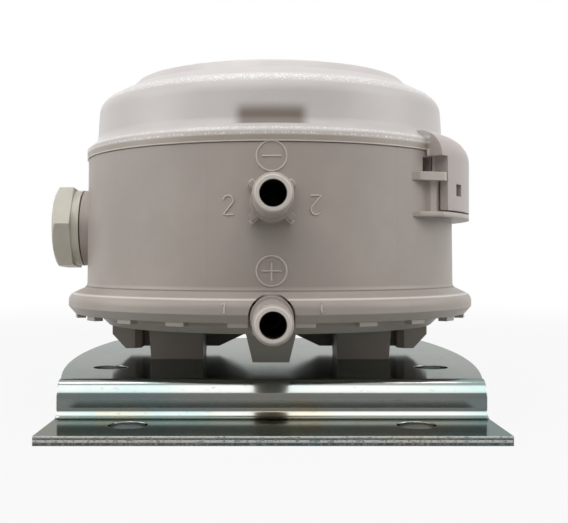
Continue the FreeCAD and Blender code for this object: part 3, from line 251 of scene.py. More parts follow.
def makeHousingPlastic(name, ridgeSheen):
    look = housingLook
    made, shader, place = newFinish(name, {"Specular IOR Level": look["specular"]})
    x, y, z = axes(place)
    front = axisY - y
    radius = reach(x, front)
    cloud = noise(place, *look["cloud"])
    grain = noise(place, *look["grain"])
    colour = blendColour(between(*look["cloudShare"], cloud), look["base"], look["pale"])
    away, pick = grains(place, look["speckScale"])
    speck = between(*look["speckPick"], pick) * (1 - between(*look["speckSize"], away))
    colour = blendColour(speck * look["speckCover"], colour, look["speck"])
    # painted shade in the corner where the wall meets the flange
    corner = band(z, *look["cornerHeight"]) * band(radius, *look["cornerRadius"])
    colour = shaded(colour, 1 - corner * (1 - look["cornerShade"]))
    # painted highlights make the nipples' ends, the flange's upper edge, the latch's ledges and the raised marks pale;
    # the same pale colour also marks wear along the edges
    edge = softEdge(place, look["edge"])
    rim = band(z, *look["rimHeight"]) * band(radius, *look["rimRadius"])
    ledge = between(*look["ledgeRadius"], radius) * between(*look["ledgeFoot"], z) * between(*look["ledgeSide"], x)
    pale = between(*look["nippleTip"], front) * look["tipCover"] + rim + ledge * look["ledgeCover"]
    pale = pale + wornAndLitEdge(place, edge) * look["edgeSheenAndWear"] + ridgeSheen
    colour = blendColour(pale.maths("MINIMUM", pale, 1.0), colour, look["sheenAndWear"])
    # faint joint lines of the mould, by their angle from the nipples
    angle = place.maths("ARCTAN2", x, front)
    lines = sum(band(angle, spot, 0.0, look["lineWidth"]) for spot in look["mouldLines"])
    colour = shaded(colour, 1 - lines * look["lineShade"])
    # painted shade deep inside the nipples' bores
    for height in look["boreHeights"]:
        inside = (1 - between(*look["boreRadius"], reach(x, z - height))) * between(*look["boreFront"], front)
        colour = shaded(colour, 1 - inside * (1 - look["boreShade"]))
    rise = grain * look["bumpGrain"] + cloud * look["bumpCloud"] - lines * look["bumpLine"]
    feed(shader, colour=colour, rough=look["rough"] + grain * look["roughGrain"] + speck * look["roughSpeck"],
         normal=bumped(rise, look["bump"], look["bumpDepth"], edge))
    return made


# Milky cover, with painted glints along its edges and a painted shade where the dark switch stands close behind it
coverLook = {
    "base": tone(203, 197, 194), "pale": tone(212, 206, 203), "specular": 0.45, "rough": 0.3, "roughGrain": 0.1,
    "milk": 0.18, "milkDepth": 1.5 * mm, "milkTint": (1.0, 0.95, 0.9),
    "edge": 0.3 * mm, "bump": 0.5, "bumpDepth": 0.07 * mm,
    "cloud": (45, 3.0, 0.5), "cloudShare": (0.35, 0.7), "grain": (3400, 2.0, 0.65),
    "lipSoft": 0.08 * mm,
    "lipBands": ((51.25 * mm, 0.3, tone(160, 148, 134)), (50.25 * mm, 0.8, tone(160, 148, 134)),
                 (49.32 * mm, 0.7, tone(236, 230, 222))),
    "latch": tone(176, 165, 159), "latchFrom": (39.3 * mm, 39.9 * mm), "latchCover": 0.8,
    "glint": tone(252, 251, 248), "glintScale": 3000, "glintPick": (0.5, 0.55), "glintSize": (0.25, 0.55),
    "glintBands": ((61.3 * mm, 0.35 * mm, 0.8 * mm), (51.6 * mm, 0.1 * mm, 0.3 * mm),
                   (50.6 * mm, 0.08 * mm, 0.2 * mm)),
    "sheenLine": 0.2,
    "shade": tone(124, 113, 103), "shadeCover": 0.95, "shadeFront": (20 * mm, 30 * mm),
    "shadeSide": (4.7 * mm, 7.3 * mm), "shadeFoot": (52.4 * mm, 52.6 * mm), "shadeTop": (54.3 * mm, 56.9 * mm),
}


def makeCoverPlastic():
    look = coverLook
    made, shader, place = newFinish("coverPlastic", {
        "Specular IOR Level": look["specular"], "Subsurface Weight": look["milk"],
        "Subsurface Scale": look["milkDepth"], "Subsurface Radius": look["milkTint"]})
    x, y, z = axes(place)
    latch = between(*look["latchFrom"], reach(x, axisY - y))
    cloud = noise(place, *look["cloud"])
    grain = noise(place, *look["grain"])
    colour = blendColour(between(*look["cloudShare"], cloud), look["base"], look["pale"])
    # the thick lip gets a painted brown shade, and its lower edge a painted highlight line
    for top, cover, shade in look["lipBands"]:
        below = 1 - between(top - look["lipSoft"], top + look["lipSoft"], z)
        colour = blendColour(below * (1 - latch) * cover, colour, shade)
    # the latch tongue gets a painted shade
    colour = blendColour(latch * look["latchCover"], colour, look["latch"])
    # painted highlights: bright grains and a pale line along the shoulder and the lip's edges
    away, pick = grains(place, look["glintScale"])
    glint = between(*look["glintPick"], pick) * (1 - between(*look["glintSize"], away))
    highlightBands = sum(band(z, *spot) for spot in look["glintBands"]) * (1 - latch)
    colour = blendColour(highlightBands * (look["sheenLine"] + glint * (1 - look["sheenLine"])), colour, look["glint"])
    # measured from the switch, so the shade stays behind when the cover is lifted
    casePlace = place.node("ShaderNodeTexCoord", {"object": nodes["switch_case"]}, None, out="Object")
    across, deep, high = axes(casePlace)
    behind = between(*look["shadeFront"], axisY - deep) * (
        1 - between(*look["shadeSide"], across.maths("ABSOLUTE", across)))
    behind = behind * between(*look["shadeFoot"], high) * (1 - between(*look["shadeTop"], high))
    colour = blendColour(behind * look["shadeCover"], colour, look["shade"])
    feed(shader, colour=colour, rough=look["rough"] + grain * look["roughGrain"],
         normal=bumped(grain, look["bump"], look["bumpDepth"], softEdge(place, look["edge"])))
    return made


# Zinc plating with faint blue and straw tints, drawn lines and dull patches
zincLook = {
    "base": tone(164, 167, 163), "blue": tone(140, 162, 162), "straw": tone(172, 162, 140), "bareAndSheen": tone(214, 213, 207),
    "grazing": (0.46, 0.48, 0.46, 1.0), "edge": 0.22 * mm,
    "rough": 0.06, "roughCloud": 0.08, "roughStreak": 0.05, "roughScuff": 0.14, "roughWorn": 0.2, "roughCut": 0.3,
    "bump": 0.07, "bumpDepth": 0.02 * mm, "bumpStreak": 0.4, "bumpSpangle": 0.3,
    "cloud": (38, 3.0, 0.5), "blueShare": (0.42, 0.66),
    "patch": (64.6, 3.0, 0.5), "patchStretch": (1.0, 1.6, 2.2), "strawShare": (0.52, 0.72), "strawCover": 0.8,
    "streak": (900, 2.0, 0.5), "streakStretch": (1.0, 0.04, 0.04),
    "spangle": (2600, 2.0, 0.6), "spangleShare": (0.3, 0.6),
    "scuff": (1500, 3.0, 0.6), "scuffStretch": (0.5, 1.0, 1.0), "scuffShare": (0.62, 0.74), "scuffShade": 0.14,
    "cutDepth": (0.05 * mm, 0.1 * mm), "cutShade": 0.6,
    "sheenTop": (1.15 * mm, 1.25 * mm), "burrLower": (0.72 * mm, 0.15 * mm, 0.12 * mm), "burrShare": (0.34, 0.5),
    "burrDull": 0.75,
}


def makeZincSteel():
    look = zincLook
    made, shader, place = newFinish("zincSteel", {"Metallic": 1.0, "Specular Tint": look["grazing"]})
    y, z = axes(place)[1:]
    cloud = noise(place, *look["cloud"])
    patch = noise(stretched(place, look["patchStretch"]), *look["patch"])
    streak = noise(stretched(place, look["streakStretch"]), *look["streak"])
    spangle = noise(place, *look["spangle"])
    scuff = between(*look["scuffShare"], noise(stretched(place, look["scuffStretch"]), *look["scuff"]))
    colour = blendColour(between(*look["blueShare"], cloud), look["base"], look["blue"])
    colour = blendColour(between(*look["strawShare"], patch) * look["strawCover"], colour, look["straw"])
    colour = shaded(colour, 1 - scuff * look["scuffShade"])
    # the sheared front edge is painted dark and dull, partly its rough break and partly painted shade, with a painted
    # highlight along its rolled top edge and a pale burnished band below it
    cut = 1 - between(*look["cutDepth"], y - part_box("bracket")[0].y)
    burrAndSheen = between(*look["sheenTop"], z) + band(z, *look["burrLower"])
    burrAndSheen = burrAndSheen * cut * between(*look["burrShare"], spangle)
    broken = between(*look["spangleShare"], spangle)
    colour = shaded(colour, 1 - cut * look["cutShade"] * broken)
    colour = blendColour(burrAndSheen, colour, look["bareAndSheen"])
    edge = softEdge(place, look["edge"])
    # edges painted pale, partly plating worn to bare steel and partly painted highlight
    wornAndLit = wornAndLitEdge(place, edge) * broken
    colour = blendColour(wornAndLit, colour, look["bareAndSheen"])
    rough = look["rough"] + cloud * look["roughCloud"] + streak * look["roughStreak"] + scuff * look["roughScuff"]
    rise = streak * look["bumpStreak"] + spangle * look["bumpSpangle"]
    feed(shader, colour=colour, rough=rough + wornAndLit * look["roughWorn"] + cut * look["roughCut"],
         metal=1 - burrAndSheen * look["burrDull"], normal=bumped(rise, look["bump"], look["bumpDepth"], edge))
    return made


# Plain mouldings and metals that share one recipe
plainLooks = {
    "gland_plastic": {"base": tone(206, 203, 189), "pale": tone(196, 191, 176), "rough": 0.40, "grain": 4200,
                      "bump": 0.08, "edge": 0.25 * mm},
    "seal_rubber": {"base": tone(38, 38, 38), "pale": tone(52, 51, 50), "rough": 0.72, "grain": 5200,
                    "bump": 0.16, "edge": 0.2 * mm},
    "diaphragm_rubber": {"base": tone(156, 82, 62), "pale": tone(170, 98, 78), "rough": 0.55, "grain": 3000,
                         "bump": 0.10, "edge": 0.2 * mm},
    "inner_plastic": {"base": tone(214, 212, 204), "pale": tone(204, 201, 191), "rough": 0.45, "grain": 4600,
                      "bump": 0.08, "edge": 0.15 * mm},
    "knob_plastic": {"base": tone(222, 220, 213), "pale": tone(213, 210, 201), "rough": 0.32, "grain": 4600,
                     "bump": 0.06, "edge": 0.2 * mm},
    "switch_plastic": {"base": tone(34, 34, 35), "pale": tone(46, 46, 47), "rough": 0.48, "grain": 5200,
                       "bump": 0.12, "edge": 0.15 * mm},
    "spring_steel": {"base": tone(176, 178, 180), "pale": tone(150, 150, 150), "rough": 0.24, "grain": 2400,
                     "bump": 0.06, "edge": 0.05 * mm, "metal": 1.0},
    "tab_brass": {"base": tone(214, 184, 112), "pale": tone(196, 160, 86), "rough": 0.24, "grain": 2400,
                  "bump": 0.06, "edge": 0.06 * mm, "metal": 1.0},
}
plainRecipe = {"cloud": (120, 3.0, 0.5), "cloudShare": (0.38, 0.68), "grainDetail": (2.0, 0.6), "edgeSheenAndWear": 0.14,
               "roughGrain": 0.08, "roughCloud": 0.05, "bumpDepth": 0.04 * mm}


def makePlain(slot):
    look, recipe = plainLooks[slot], plainRecipe
    made, shader, place = newFinish(slot.split("_")[0] + "Finish", {"Metallic": look.get("metal", 0.0)})
    cloud = noise(place, *recipe["cloud"])
    grain = noise(place, look["grain"], *recipe["grainDetail"])
    colour = blendColour(between(*recipe["cloudShare"], cloud), look["base"], look["pale"])
    edge = softEdge(place, look["edge"])
    # edges painted pale, partly wear and partly painted highlight
    colour = shaded(colour, 1 + wornAndLitEdge(place, edge) * recipe["edgeSheenAndWear"])
    feed(shader, colour=colour, rough=look["rough"] + grain * recipe["roughGrain"] + cloud * recipe["roughCloud"],
         normal=bumped(grain, look["bump"], recipe["bumpDepth"], edge))
    return made


finishes = {slot: makePlain(slot) for slot in plainLooks}
finishes["housing_plastic"] = makeHousingPlastic("housingPlastic", 0.0)
finishes["cover_plastic"] = makeCoverPlastic()
finishes["zinc_steel"] = makeZincSteel()
# the housing plastic made paler by a painted highlight, for the raised marks and the nipple braces
litRidgePlastic = makeHousingPlastic("litRidgePlastic", housingLook["ridgeSheen"])
for row in frame["record"]["subparts"]:
    mesh = nodes[row["node"]].data
    mesh.materials.clear()
    mesh.materials.append(finishes[row["material_slot"]])


def addPiece(name, mesh, finish, body):
    piece = bpy.data.objects.new(name, mesh)
    bpy.context.scene.collection.objects.link(piece)
    mesh.materials.append(finish)
    # a piece given no body rides on none
    if body:
        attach(piece, body)
    return piece


def joinLoops(work, low, high):
    count = len(low)
    for number in range(count):
        after = (number + 1) % count
        work.faces.new((low[number], low[after], high[after], high[number]))


def skin(work, loops):
    # a closed surface over a row of loops
    for low, high in zip(loops, loops[1:]):
        joinLoops(work, low, high)
    work.faces.new(loops[0])
    work.faces.new(loops[-1])


def closeMesh(work, name):
    bmesh.ops.recalc_face_normals(work, faces=work.faces[:])
    mesh = bpy.data.meshes.new(name)
    work.to_mesh(mesh)
    work.free()
    return mesh


# Raised lines: each stroke is a list of flat points, laid on a surface by a place function
def ridges(name, strokes, lay, width, height, finish, body):
    # across in widths and lift in heights; the foot goes a little into the surface
    profile = [(-0.5, -0.4), (-0.36, 0.7), (0.0, 1.0), (0.36, 0.7), (0.5, -0.4)]
    size = len(profile)
    points, faces = [], []
    for stroke, closed in strokes:
        first = len(points)
        count = len(stroke)
        for number, spot in enumerate(stroke):
            before = stroke[number - 1] if number or closed else spot
            after = stroke[(number + 1) % count] if number < count - 1 or closed else spot
            along = Vector((after[0] - before[0], after[1] - before[1])).normalized()
            for across, lift in profile:
                points.append(lay(spot[0] - along.y * across * width, spot[1] + along.x * across * width,
                                  lift * height))
        for number in range(count if closed else count - 1):
            here, there = first + number * size, first + (number + 1) % count * size
            for side in range(size):
                nextSide = (side + 1) % size
                faces.append((here + side, there + side, there + nextSide, here + nextSide))
        if not closed:
            faces.append(tuple(range(first + size - 1, first - 1, -1)))
            faces.append(tuple(range(first + (count - 1) * size, first + count * size)))
    mesh = bpy.data.meshes.new(name)
    mesh.from_pydata(points, [], faces)
    mesh.validate()
    mesh.update()
    for face in mesh.polygons:
        face.use_smooth = len(face.vertices) == 4
    return addPiece(name, mesh, finish, body)


def onCircle(centre, radius, turns):
    return [(centre[0] + radius * math.cos(turn), centre[1] + radius * math.sin(turn)) for turn in turns]


def ring(centre, radius, count=48):
    return onCircle(centre, radius, [math.tau * number / count for number in range(count)])


def arc(centre, radius, first, last, count=10):
    turns = [math.radians(first + (last - first) * step / count) for step in range(count + 1)]
    return onCircle(centre, radius, turns)


def straight(start, end, count=6):
    return [(start[0] + (end[0] - start[0]) * step / count, start[1] + (end[1] - start[1]) * step / count)
            for step in range(count + 1)]


def corners(*spots):
    path = [spots[0]]
    for start, end in zip(spots, spots[1:]):
        path += straight(start, end, 4)[1:]
    return path


# Numbers as single strokes, one unit high
numberStrokes = {
    1: corners((-0.2, 0.28), (0.04, 0.5), (0.04, -0.5)),
    2: arc((0, 0.24), 0.26, 170, -30) + corners((0.2, 0.08), (-0.26, -0.5), (0.28, -0.5))[1:],
    3: arc((0, 0.25), 0.25, 150, -75) + arc((0, -0.24), 0.26, 75, -150),
    4: corners((0.12, -0.5), (0.12, 0.5), (-0.3, -0.16), (0.3, -0.16)),
    5: corners((0.24, 0.5), (-0.18, 0.5), (-0.22, 0.06)) + arc((-0.02, -0.2), 0.3, 125, -140),
}


def numberAt(number, centre, height, turn):
    c, s = math.cos(math.radians(turn)) * height, math.sin(math.radians(turn)) * height
    return [(centre[0] + x * c - z * s, centre[1] + x * s + z * c) for x, z in numberStrokes[number]]


# Signs and numbers by the two nipples, moulded on the wall and on the skirt
signs = {
    "wallFoot": (38.85 * mm, 22.75 * mm), "wallHead": (38.55 * mm, 49.0 * mm),
    "skirtRoundFrom": (40.85 * mm, 19.85 * mm), "skirtRound": 1.8 * mm,
    "minusHeight": 46.5 * mm, "plusHeight": 26.3 * mm, "ringRadius": 2.65 * mm, "barHalf": 1.75 * mm,
    "line": 0.34 * mm, "raise": 0.20 * mm,
    "twoHeight": 37.9 * mm, "twoAcross": (-7.6 * mm, 7.8 * mm), "twoSize": 3.4 * mm,
    "oneHeight": 20.0 * mm, "oneAcross": (-8.2 * mm, 8.6 * mm), "oneSize": 1.75 * mm,
}


def onRound(x, z, radius, lift):
    angle = math.asin(x / radius)
    return ((radius + lift) * math.sin(angle), axisY - (radius + lift) * math.cos(angle), z)


def onWall(x, z, lift):
    (footRadius, footHeight), (headRadius, headHeight) = signs["wallFoot"], signs["wallHead"]
    share = (z - footHeight) / (headHeight - footHeight)
    radius = footRadius + (headRadius - footRadius) * share
    return onRound(x, z, radius, lift)


def onSkirt(x, z, lift):
    # straight face of the flange, then the rounding at its top edge
    radius, height = signs["skirtRoundFrom"]
    over = max(0.0, z - height)
    return onRound(x, z, radius + math.sqrt(signs["skirtRound"] ** 2 - over ** 2), lift)


def ringedBar(height):
    half = signs["barHalf"]
    return [(ring((0.0, height), signs["ringRadius"]), True),
            (straight((-half, height), (half, height)), False)]


def uprightBar(height):
    half = signs["barHalf"]
    return [(straight((0.0, height - half), (0.0, height + half)), False)]


def numberPair(number, height, size, across):
    # one on each side of the nipple, the right one upside down
    return [(numberAt(number, (x, height), size, 180 if x > 0 else 0), False) for x in across]


signStrokes = {
    "minusSign": (onWall, ringedBar(signs["minusHeight"])),
    "plusSign": (onWall, ringedBar(signs["plusHeight"]) + uprightBar(signs["plusHeight"])),
    "lowMarks": (onWall, numberPair(2, signs["twoHeight"], signs["twoSize"], signs["twoAcross"])),
    "highMarks": (onSkirt, numberPair(1, signs["oneHeight"], signs["oneSize"], signs["oneAcross"])),
}
for name, (lay, strokes) in signStrokes.items():
    ridges(name, strokes, lay, signs["line"], signs["raise"], litRidgePlastic, "housing")
print("signs and numbers made")


# Four short bars that brace the upper nipple against the wall
braces = {"height": 38.4 * mm, "inner": 2.9 * mm, "outer": 5.25 * mm, "half": 0.46 * mm, "bevel": 0.12 * mm,
          "root": 37.6 * mm, "front": 40.7 * mm, "taper": 0.35 * mm, "turns": (45, 135, 225, 315)}


def makeBraces():
    work = bmesh.new()
    inner, outer, half, bevel = [braces[word] for word in ("inner", "outer", "half", "bevel")]
    section = [(-half, 0), (-half, 1), (-half + bevel, 2), (half - bevel, 2), (half, 1), (half, 0)]
    depths = (braces["root"], braces["front"] - bevel, braces["front"])
    for turn in braces["turns"]:
        c, s = math.cos(math.radians(turn)), math.sin(math.radians(turn))
        loops = []
        for out, inset in ((inner, 0.0), (outer - bevel, 0.0), (outer, bevel)):
            lean = braces["taper"] * (out - inner) / (outer - inner)
            loop = []
            for across, level in section:
                side = across - math.copysign(inset, across)
                depth = depths[level] - (lean + inset if level else 0.0)
                loop.append(work.verts.new((out * c - side * s, axisY - depth,
                                            braces["height"] + out * s + side * c)))
            loops.append(loop)
        skin(work, loops)
    addPiece("nippleBraces", closeMesh(work, "nippleBraces"), litRidgePlastic, "housing")


makeBraces()
print("nipple braced")


# Printed dial on the setting knob, and the mark on the switch that it is read at
dial = {
    "tickInner": 8.9 * mm, "tickOuter": 10.1 * mm, "smallInner": 9.5 * mm, "numberRadius": 7.7 * mm,
    "numberSize": 1.7 * mm, "line": 0.2 * mm, "raise": 0.03 * mm, "firstTurn": 164.0, "step": -67.5,
    "numbers": 5, "parts": 5, "tickSteps": 2,
    "pointerInner": 15.6 * mm, "pointerOuter": 18.4 * mm, "pointerLine": 0.6 * mm,
}
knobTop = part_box("setting_knob")[1].z
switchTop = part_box("switch_case")[1].z


def onKnob(x, y, lift):
    return (x, axisY + y, knobTop + lift)


def onSwitch(x, y, lift):
    return (x, axisY + y, switchTop + lift)


def around(radius, turn):
    return (radius * math.sin(math.radians(turn)), radius * math.cos(math.radians(turn)))


def tick(inner, outer, turn):
    return (straight(around(inner, turn), around(outer, turn), dial["tickSteps"]), False)


dialStrokes = []
for mark in range((dial["numbers"] - 1) * dial["parts"] + 1):
    markTurn = dial["firstTurn"] + dial["step"] * mark / dial["parts"]
    markInner = dial["smallInner"] if mark % dial["parts"] else dial["tickInner"]
    dialStrokes.append(tick(markInner, dial["tickOuter"], markTurn))
for number in range(1, dial["numbers"] + 1):
    markTurn = dial["firstTurn"] + dial["step"] * (number - 1)
    numberSpot = around(dial["numberRadius"], markTurn)
    dialStrokes.append((numberAt(number, numberSpot, dial["numberSize"], -markTurn), False))
ridges("dialPrint", dialStrokes, onKnob, dial["line"], dial["raise"],
       finishes["switch_plastic"], "setting_knob")
# the number that stands at the mark on the switch is the setting, and it rises as the knob turns clockwise
ridges("settingPointer", [tick(dial["pointerInner"], dial["pointerOuter"], dial["firstTurn"])], onSwitch,
       dial["pointerLine"], dial["raise"], finishes["knob_plastic"], "housing")
print("dial printed")


# Screws with a cross recess, in place of the plain ones
screwShapes = {
    "bracket_screws": {"head": 3.2 * mm, "headHeight": 2.2 * mm, "bevel": 0.9 * mm, "shank": 1.5 * mm,
                       "arm": 1.55 * mm, "armHalf": 0.42 * mm, "recess": 1.1 * mm, "up": -1},
    "switch_screws": {"head": 2.0 * mm, "headHeight": 1.4 * mm, "bevel": 0.35 * mm, "shank": 1.0 * mm,
                      "arm": 1.1 * mm, "armHalf": 0.3 * mm, "recess": 0.7 * mm, "up": 1},
}
# what both kinds have: sides round, and shares of the shank, the bevel and the recess
screwShares = {"sides": 32, "tip": 0.8, "tipRise": 0.2, "crown": 0.35, "floorArm": 0.72, "floorHalf": 0.75}


def crossOutline(arm, half):
    quarter = [(half, half), (half, arm), (-half, arm)]
    spots = []
    for turn in range(4):
        c, s = math.cos(turn * math.pi / 2), math.sin(turn * math.pi / 2)
        spots += [(x * c - y * s, x * s + y * c) for x, y in quarter]
    return spots


def addLoop(work, spots, height):
    made = [work.verts.new((x, y, height)) for x, y in spots]
    edges = [work.edges.new((a, b)) for a, b in zip(made, made[1:] + made[:1])]
    return made, edges


def screwProfile(shape, length):
    # radius and height, from the shank's tip to the head's flat top
    head, shank, bevel = shape["head"], shape["shank"], shape["bevel"]
    under = length - shape["headHeight"]
    crown = bevel * screwShares["crown"]
    return [(shank * screwShares["tip"], 0.0), (shank, shank * screwShares["tipRise"]), (shank, under), (head, under),
            (head, length - bevel), (head - crown, length - crown), (head - bevel, length)]


def makeScrews(node):
    shape, shares = screwShapes[node], screwShares
    low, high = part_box(node)
    length = high.z - low.z
    across = (high.x - low.x) / 2 - shape["head"]
    middle = (low.y + high.y) / 2
    mouthCross = crossOutline(shape["arm"], shape["armHalf"])
    floorCross = crossOutline(shape["arm"] * shares["floorArm"], shape["armHalf"] * shares["floorHalf"])
    work = bmesh.new()
    for side in (-1, 1):
        first = len(work.verts)
        loops, rims = zip(*[addLoop(work, ring((0, 0), radius, shares["sides"]), height)
                            for radius, height in screwProfile(shape, length)])
        for below, above in zip(loops, loops[1:]):
            joinLoops(work, below, above)
        work.faces.new(list(reversed(loops[0])))
        mouth, mouthRim = addLoop(work, mouthCross, length)
        floor, floorRim = addLoop(work, floorCross, length - shape["recess"])
        bmesh.ops.triangle_fill(work, use_beauty=True, edges=rims[-1] + mouthRim)
        joinLoops(work, floor, mouth)
        bmesh.ops.triangle_fill(work, use_beauty=True, edges=floorRim)
        work.verts.ensure_lookup_table()
        for vert in work.verts[first:]:
            along = vert.co.z if shape["up"] > 0 else length - vert.co.z
            vert.co = Vector((vert.co.x + side * across, middle + vert.co.y * shape["up"], low.z + along))
    name = node.split("_")[0] + "CrossScrews"
    mesh = closeMesh(work, name)
    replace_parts(addPiece(name, mesh, finishes["zinc_steel"], "housing"), node)


for node in screwShapes:
    makeScrews(node)
print("screws made")


# Range spring of round wire with closed ends, in two halves
spring = {"mean": 4.9 * mm, "wire": 0.45 * mm, "turns": 5, "closed": 0.6, "steps": 36, "sides": 10,
          "halves": {"springFoot": (0.0, 0.5, "diaphragm_stroke"), "springHead": (0.5, 1.0, "setting_nut_slide")}}


def springPoint(share, low, high):
    turn = share * spring["turns"] * math.tau
    flat = spring["closed"] / spring["turns"]
    rise = min(1.0, max(0.0, (share - flat) / (1 - 2 * flat)))
    return turn, low + (high - low) * rise


def makeSpringHalf(name, first, last, joint):
    low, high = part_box("range_spring")
    wire = spring["wire"]
    foot, head = low.z + wire, high.z - wire
    count = round((last - first) * spring["turns"] * spring["steps"])
    work = bmesh.new()
    loops = []
    for step in range(count + 1):
        turn, height = springPoint(first + (last - first) * step / count, foot, head)
        loop = []
        for side in range(spring["sides"]):
            bend = math.tau * side / spring["sides"]
            radius = spring["mean"] + wire * math.cos(bend)
            loop.append(work.verts.new((radius * math.cos(turn), axisY + radius * math.sin(turn),
                                        height + wire * math.sin(bend))))
        loops.append(loop)
    skin(work, loops)
    for face in work.faces:
        face.smooth = len(face.verts) == 4
    piece = addPiece(name, closeMesh(work, name), finishes["spring_steel"], "housing")
    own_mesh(piece)
    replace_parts(piece, "range_spring")


for halfName, halfShape in spring["halves"].items():
    makeSpringHalf(halfName, *halfShape)
print("spring wound")


# Diaphragm in slices, from the plate that it carries out to its clamped rim;
# the profile and both ends of the bend are given as radius and height in mm
membrane = {
    "profile": ((0.0, 20.4), (28.2, 20.4), (28.65, 19.15), (29.1, 17.9), (29.9, 17.9), (30.7, 17.9), (31.5, 17.9),
                (32.3, 17.9), (32.75, 19.15), (33.2, 20.4), (37.75, 20.4), (37.75, 19.65), (39.45, 19.65),
                (39.45, 21.0), (32.6, 21.0), (32.15, 19.75), (31.7, 18.5), (31.03, 18.5), (30.37, 18.5), (29.7, 18.5),
                (29.25, 19.75), (28.8, 21.0), (0.0, 21.0)),
    "slices": 16, "steps": 6, "held": (32.3, 20.4), "lifted": (29.1, 20.4), "merge": 0.001 * mm,
}


def onMembrane(radius, height, share):
    turn = math.tau * share / membrane["slices"]
    return (radius * mm * math.cos(turn), axisY + radius * mm * math.sin(turn), height * mm)


def makeSlice(number):
    work = bmesh.new()
    shares = [number + step / membrane["steps"] for step in range(membrane["steps"] + 1)]
    skin(work, [[work.verts.new(onMembrane(*spot, share)) for spot in membrane["profile"]] for share in shares])
    bmesh.ops.remove_doubles(work, verts=work.verts[:], dist=membrane["merge"])
    mesh = closeMesh(work, "diaphragmSlice%d" % number)
    piece = addPiece(mesh.name, mesh, finishes["diaphragm_rubber"], None)
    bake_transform(piece)
    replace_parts(piece, "diaphragm")


for sliceNumber in range(membrane["slices"]):
    makeSlice(sliceNumber)
print("diaphragm sliced")


# Floor, light and camera, taken from where the photograph was made
stage = {
    "floorSize": 40.0, "floorGap": 0.02 * mm, "floorTone": (0.43, 0.43, 0.43, 1.0), "floorRough": 0.9,
    "floorWhite": 0.9, "fade": (0.12, 0.45), "front": (-0.02, 0.12),
    "white": (1, 1, 1, 1), "skyFill": 0.25, "frontRoom": 0.4, "roomFront": (-0.15, 0.55), "roomTop": (0.35, 0.8),
    "aimHeight": 40 * mm,
    "topPower": 1.3, "topPlace": (-0.03, -0.25, 0.45), "topSize": 0.5,
    "backPower": 0.5, "backPlace": (-0.02, 0.19, 0.53), "backSize": 0.34, "backDepth": 0.10,
    "leftPower": 1.15, "leftPlace": (-0.48, -0.08, 0.25), "leftSize": 0.36,
    "rightPower": 1.1, "rightPlace": (0.48, -0.07, 0.25), "rightSize": 0.36,
}
shot = {
    "imageWidth": 568, "imageHeight": 523, "eyeColumn": 261.6, "horizonRow": 259.1, "focalPixels": 922.0,
    "distance": 200 * mm, "sideStep": 1.74 * mm, "eyeHeight": 28.4 * mm, "sensor": 36.0, "nearest": 10 * mm,
}


def seenDirectly(place):
    camera, glossy, through = [place.node("ShaderNodeLightPath", None, None, out=name)
                               for name in ("Is Camera Ray", "Is Glossy Ray", "Is Transmission Ray")]
    return camera.maths("MAXIMUM", camera, through), glossy


def makeFloor():
    half = stage["floorSize"] / 2
    mesh = bpy.data.meshes.new("floor")
    mesh.from_pydata([(-half, -half, 0), (half, -half, 0), (half, half, 0), (-half, half, 0)], [], [(0, 1, 2, 3)])
    floor = bpy.data.objects.new("floor", mesh)
    bpy.context.scene.collection.objects.link(floor)
    floor.location = (0, 0, cadBox[0].z - stage["floorGap"])
    made, shader, place = newFinish("paleFloor", {
        "Base Color": stage["floorTone"], "Roughness": stage["floorRough"], "Specular IOR Level": 0.0})
    camera, glossy = seenDirectly(place)
    x, y = axes(place)[:2]
    fade = between(*stage["fade"], reach(x, y - axisY))
    white = place.node("ShaderNodeEmission", None, {"Color": stage["white"], "Strength": 1.0})
    # white to the camera, all of it far off and less of it near, where the shadow falls
    share = camera * (stage["floorWhite"] + fade * (1 - stage["floorWhite"]))
    share = share + glossy * between(*stage["front"], y)
    mixed = share.node("ShaderNodeMixShader", None, {0: share, 1: Wire(made.node_tree, shader.outputs[0]), 2: white})
    made.node_tree.links.new(mixed.socket, made.node_tree.nodes["Material Output"].inputs["Surface"])
    mesh.materials.append(made)


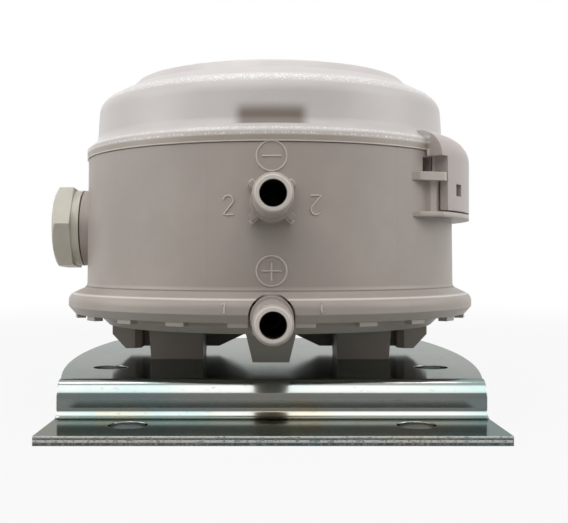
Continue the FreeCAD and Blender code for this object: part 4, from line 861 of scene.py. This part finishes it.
def makeSky():
    world = bpy.data.worlds.new("paleRoom")
    bpy.context.scene.world = world
    world.use_nodes = True
    tree = world.node_tree
    start = Wire(tree)
    camera, glossy = seenDirectly(start)
    # the room behind the camera is dimmer in the metal than the white sweep behind the object
    y, z = axes(start.node("ShaderNodeTexCoord", None, None, out="Generated"))[1:]
    dim = between(*stage["roomFront"], 0 - y) * (1 - between(*stage["roomTop"], z))
    inMetal = 1 - dim * (1 - stage["frontRoom"])
    fill = stage["skyFill"]
    level = fill + camera * (1 - fill) + glossy * (inMetal - fill)
    tree.links.new(level.socket, tree.nodes["Background"].inputs["Strength"])
    tree.nodes["Background"].inputs["Color"].default_value = stage["white"]


def makeLamp(name):
    lamp = bpy.data.lights.new(name + "Lamp", "AREA")
    lamp.energy = stage[name + "Power"]
    lamp.shape = "RECTANGLE"
    lamp.size = stage[name + "Size"]
    lamp.size_y = stage.get(name + "Depth", lamp.size)
    holder = bpy.data.objects.new(name + "Lamp", lamp)
    bpy.context.scene.collection.objects.link(holder)
    holder.location = stage[name + "Place"]
    aim = Vector((0, axisY, stage["aimHeight"])) - holder.location
    holder.rotation_euler = aim.to_track_quat("-Z", "Y").to_euler()


def makeCamera():
    eye = bpy.data.cameras.new("photoEye")
    eye.sensor_width = shot["sensor"]
    eye.lens = shot["focalPixels"] / shot["imageWidth"] * shot["sensor"]
    eye.shift_x = (shot["imageWidth"] / 2 - shot["eyeColumn"]) / shot["imageWidth"]
    eye.shift_y = (shot["horizonRow"] - shot["imageHeight"] / 2) / shot["imageWidth"]
    eye.clip_start = shot["nearest"]
    holder = bpy.data.objects.new("photoEye", eye)
    bpy.context.scene.collection.objects.link(holder)
    holder.location = (-shot["sideStep"], axisY - shot["distance"], shot["eyeHeight"])
    holder.rotation_euler = (math.pi / 2, 0, 0)
    bpy.context.scene.camera = holder


makeFloor()
makeSky()
for lampName in ("top", "back", "left", "right"):
    makeLamp(lampName)
makeCamera()
bpy.context.scene.view_settings.view_transform = "Standard"
print("stage, light and camera set")

bpy.context.view_layer.update()
